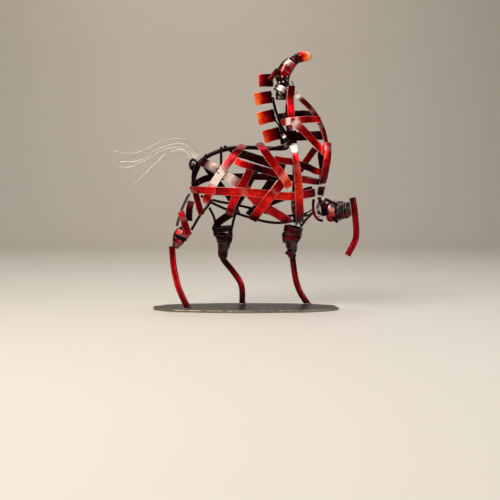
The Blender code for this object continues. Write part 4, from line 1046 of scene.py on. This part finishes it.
dress("head_shell", sleeve_shells(HEAD_SHELL, HEAD_CUFFS, facets=0.05, seams=HEAD_SEAMS)
      + [coil(FOREHEAD_CURL, 0.0030, 0.0007, 1.1, start=2.5, tone=0.5)], "red_lacquer")
dress("muzzle", [muzzle_cap(MUZZLE)], "orange_lacquer")
dress("neck_top_hoop",
      sleeve_shells(NECK_TOP_HOOP, ((0.5, 0.03, 90, 13, 0.0, (0.06, 0.10), 0.1),)))
dress("throat_collar",
      sleeve_shells(THROAT_COLLAR, ((0.5, 0.03, 90, 9.5, 0.0, (0.40, 0.30, 0.16), 1.4),))
      + [bar(THROAT_WIRE, WIRE_RADIUS, (0.05, 0.06), sides=10)])
for name, side in (("near_ear", NEAR), ("far_ear", FAR)):
    route = [(x, z, BODY_SHIFT / MM + side * out) for x, z, out in EAR_ROUTE]
    shares = even_shares(metres(route))
    to_end = np.minimum(shares, 1 - shares) * EAR_LENGTH
    dome = EAR_RADIUS * np.sqrt(np.clip(1 - (1 - to_end / EAR_RADIUS).clip(0) ** 2, 0.05, 1))
    dress(name, [bar(route, dome, (0.20, 0.32, 0.34), sides=20)], "red_lacquer")


# Mane
# Four flat tabs of 1.6 mm plate welded on edge to the crest bar, bowed a little, heated at
# the root: the lacquer runs from black there to red or orange at the free end.
TAB_THICKNESS = 0.0016
TAB_BOW = 0.0035
TAB_OUT = FRAME_ROD_RADIUS + TAB_THICKNESS / 2 + 2 * WELD_GAP
TAB_BEAD_LENGTH = 0.0060
TAB_BEAD_WIDTH = 0.0030
TAB_BEAD_OUT = 0.0022
MANE_TABS = (
    # middle of the root, middle of the free end, height, and tones from root to end
    ((47.5, 399), (22.5, 398.5), 22.5, (0.04, 0.12, 0.34, 0.48, 0.62)),
    ((45.5, 370.5), (15.5, 365.5), 22, (0.06, 0.34, 0.60, 0.80, 0.88)),
    ((50.5, 338.5), (20.5, 331), 22.5, (0.08, 0.42, 0.66, 0.78, 0.92)),
    ((60, 307.5), (31, 299.5), 22.5, (0.06, 0.38, 0.60, 0.70, 0.78)),
)


def bead(middle, along, length, width, seed, tone=0.1, bare=0.4):
    """Weld bead: an ellipsoid round the direction along, with lumps on it."""
    along = unit(np.asarray(along))
    first = unit(np.cross(along, (0.1, 1.0, 0.2)))
    polar = np.linspace(0.15, math.pi - 0.15, 12)[:, None]
    turn = around(14)[None, :]
    lump = 1 + 0.16 * np.sin(3 * turn + seed) * np.sin(2.3 * polar * 2 + seed)
    points = (np.asarray(middle) + (np.cos(polar) * lump * length / 2)[..., None] * along
              + (np.sin(polar) * np.cos(turn) * lump * width / 2)[..., None] * first
              + (np.sin(polar) * np.sin(turn) * lump * width / 2)[..., None]
              * np.cross(along, first))
    return closed_shell(points, tone=tone, bare=bare)


for k, (root, end, height, tones) in enumerate(MANE_TABS):
    root, end, height = metres(root), metres(end), height * MM
    up = np.array([-(end - root)[1], (end - root)[0]]) / -np.linalg.norm(end - root)
    share = np.linspace(0, 1, 9)
    bow = BODY_SHIFT - TAB_OUT - TAB_BOW * np.sin(math.pi * share * 0.8)
    middle, left, right = (
        placed(np.column_stack([root + (end - root) * share[:, None] + up * height * part, bow]))
        for part in (0.0, -0.5, 0.5))
    upward = (up[0], 0.0, up[1])
    out = unit(np.cross(np.gradient(middle, axis=0), upward))
    tab = strip(middle, left, right, [out] * 3, np.full((9, 1), -TAB_THICKNESS / 2), height,
                TAB_THICKNESS, tones, seed=k)
    welds = [placed(np.array([[*(root + up * height * part), BODY_SHIFT - TAB_BEAD_OUT]]))[0]
             for part in (-0.25, 0.25)]
    beads = [bead(weld, upward, TAB_BEAD_LENGTH, TAB_BEAD_WIDTH, k + seed)
             for weld, seed in zip(welds, (-0.75, 0.75))]
    dress("mane_tab_%d" % (k + 1), [tab] + beads, "orange_lacquer")


# Tail
# Five lengths of bright 1.8 mm spring wire, left bare, fanned out of one black weld on the
# rump and cut off at different lengths. Scraps of black wire are curled over the weld.
TAIL_ROOT = (-95, 249, -7)
TAIL_BOSS_RADIUS = 0.0060
TAIL_WIRES = (
    ((-88, 262, -3), (-85, 272, 0), (-94.7, 284.5, 0), (-107.3, 293.8, -2), (-126.4, 296.3, -4),
     (-154.7, 288.9, -8), (-178.8, 275.8, -12), (-203.6, 270.1, -15), (-230, 274.7, -18)),
    ((-89, 260, -2), (-88.5, 267, 2), (-93.1, 274.7, 6), (-107.3, 286, 8), (-126.4, 288.4, 10),
     (-161, 276.5, 14), (-180.5, 263.2, 17), (-199, 257.6, 19), (-224.3, 257.6, 22)),
    ((-91.2, 258.6, -5.2), (-91.2, 264, -3), (-99, 273.8, 1), (-123.9, 281.8, 1),
     (-152.2, 273.8, 0), (-178.8, 258.8, -1), (-207, 246.4, -2), (-223, 247.3, -3)),
    ((-93, 258, -3), (-96.3, 262.3, 2), (-107.3, 274.7, 10), (-123.2, 278.3, 14),
     (-152.2, 263.2, 20), (-186.4, 241.8, 27), (-201.8, 233.1, 30)),
    ((-94.5, 257, -6), (-98, 261, -5), (-107.3, 270.1, -4), (-123.2, 273.3, -8),
     (-139, 270.1, -12), (-150, 260.7, -15), (-194.2, 216.5, -24)),
)

# Drawn spring wire: bright, slightly yellow steel with fine lengthwise draw marks, 0.4 mm
# apart round the wire (1 / 2500 m), and dull grey patches about 12 mm long.
wire_steel, tree = new_material("bare_drawn_wire")
place = add(tree, "TexCoord")
stretched = add(tree, "Mapping", {"Vector": place.outputs["UV"], "Scale": (80, 2500, 1)})
drawn = noise(tree, stretched.outputs[0], 1.0, 2.0)
colour = add(tree, "ValToRGB", {"Fac": drawn}, stops=((0.3, "#A09990"), (0.7, "#DAD3C8")))
finish_material(tree, Base_Color=colour.outputs[0], Metallic=0.8,
                Roughness=remap(tree, drawn, 0.36, 0.52))

boss = placed(metres([TAIL_ROOT]))[0]
make_piece("tail_wires_dressed",
           [bar((TAIL_ROOT,) + route, WIRE_RADIUS, (0.5,), sides=12) for route in TAIL_WIRES],
           wire_steel, "bare_steel", "tail_wires")
make_piece("tail_weld_dressed",
           [bead(boss, (0.3, 0.2, 1.0), 2 * TAIL_BOSS_RADIUS, 1.9 * TAIL_BOSS_RADIUS, 2,
                 tone=0.04, bare=0.1),
            coil(boss + (0.003, -0.0045, 0.004), 0.0060, 0.0016, 1.4, start=1.0, squash=1.25),
            coil(boss + (0.003, -0.0030, -0.004), 0.0040, 0.0014, 1.2, start=3.0)],
           lacquer, "dark_lacquer", "tail_wires")
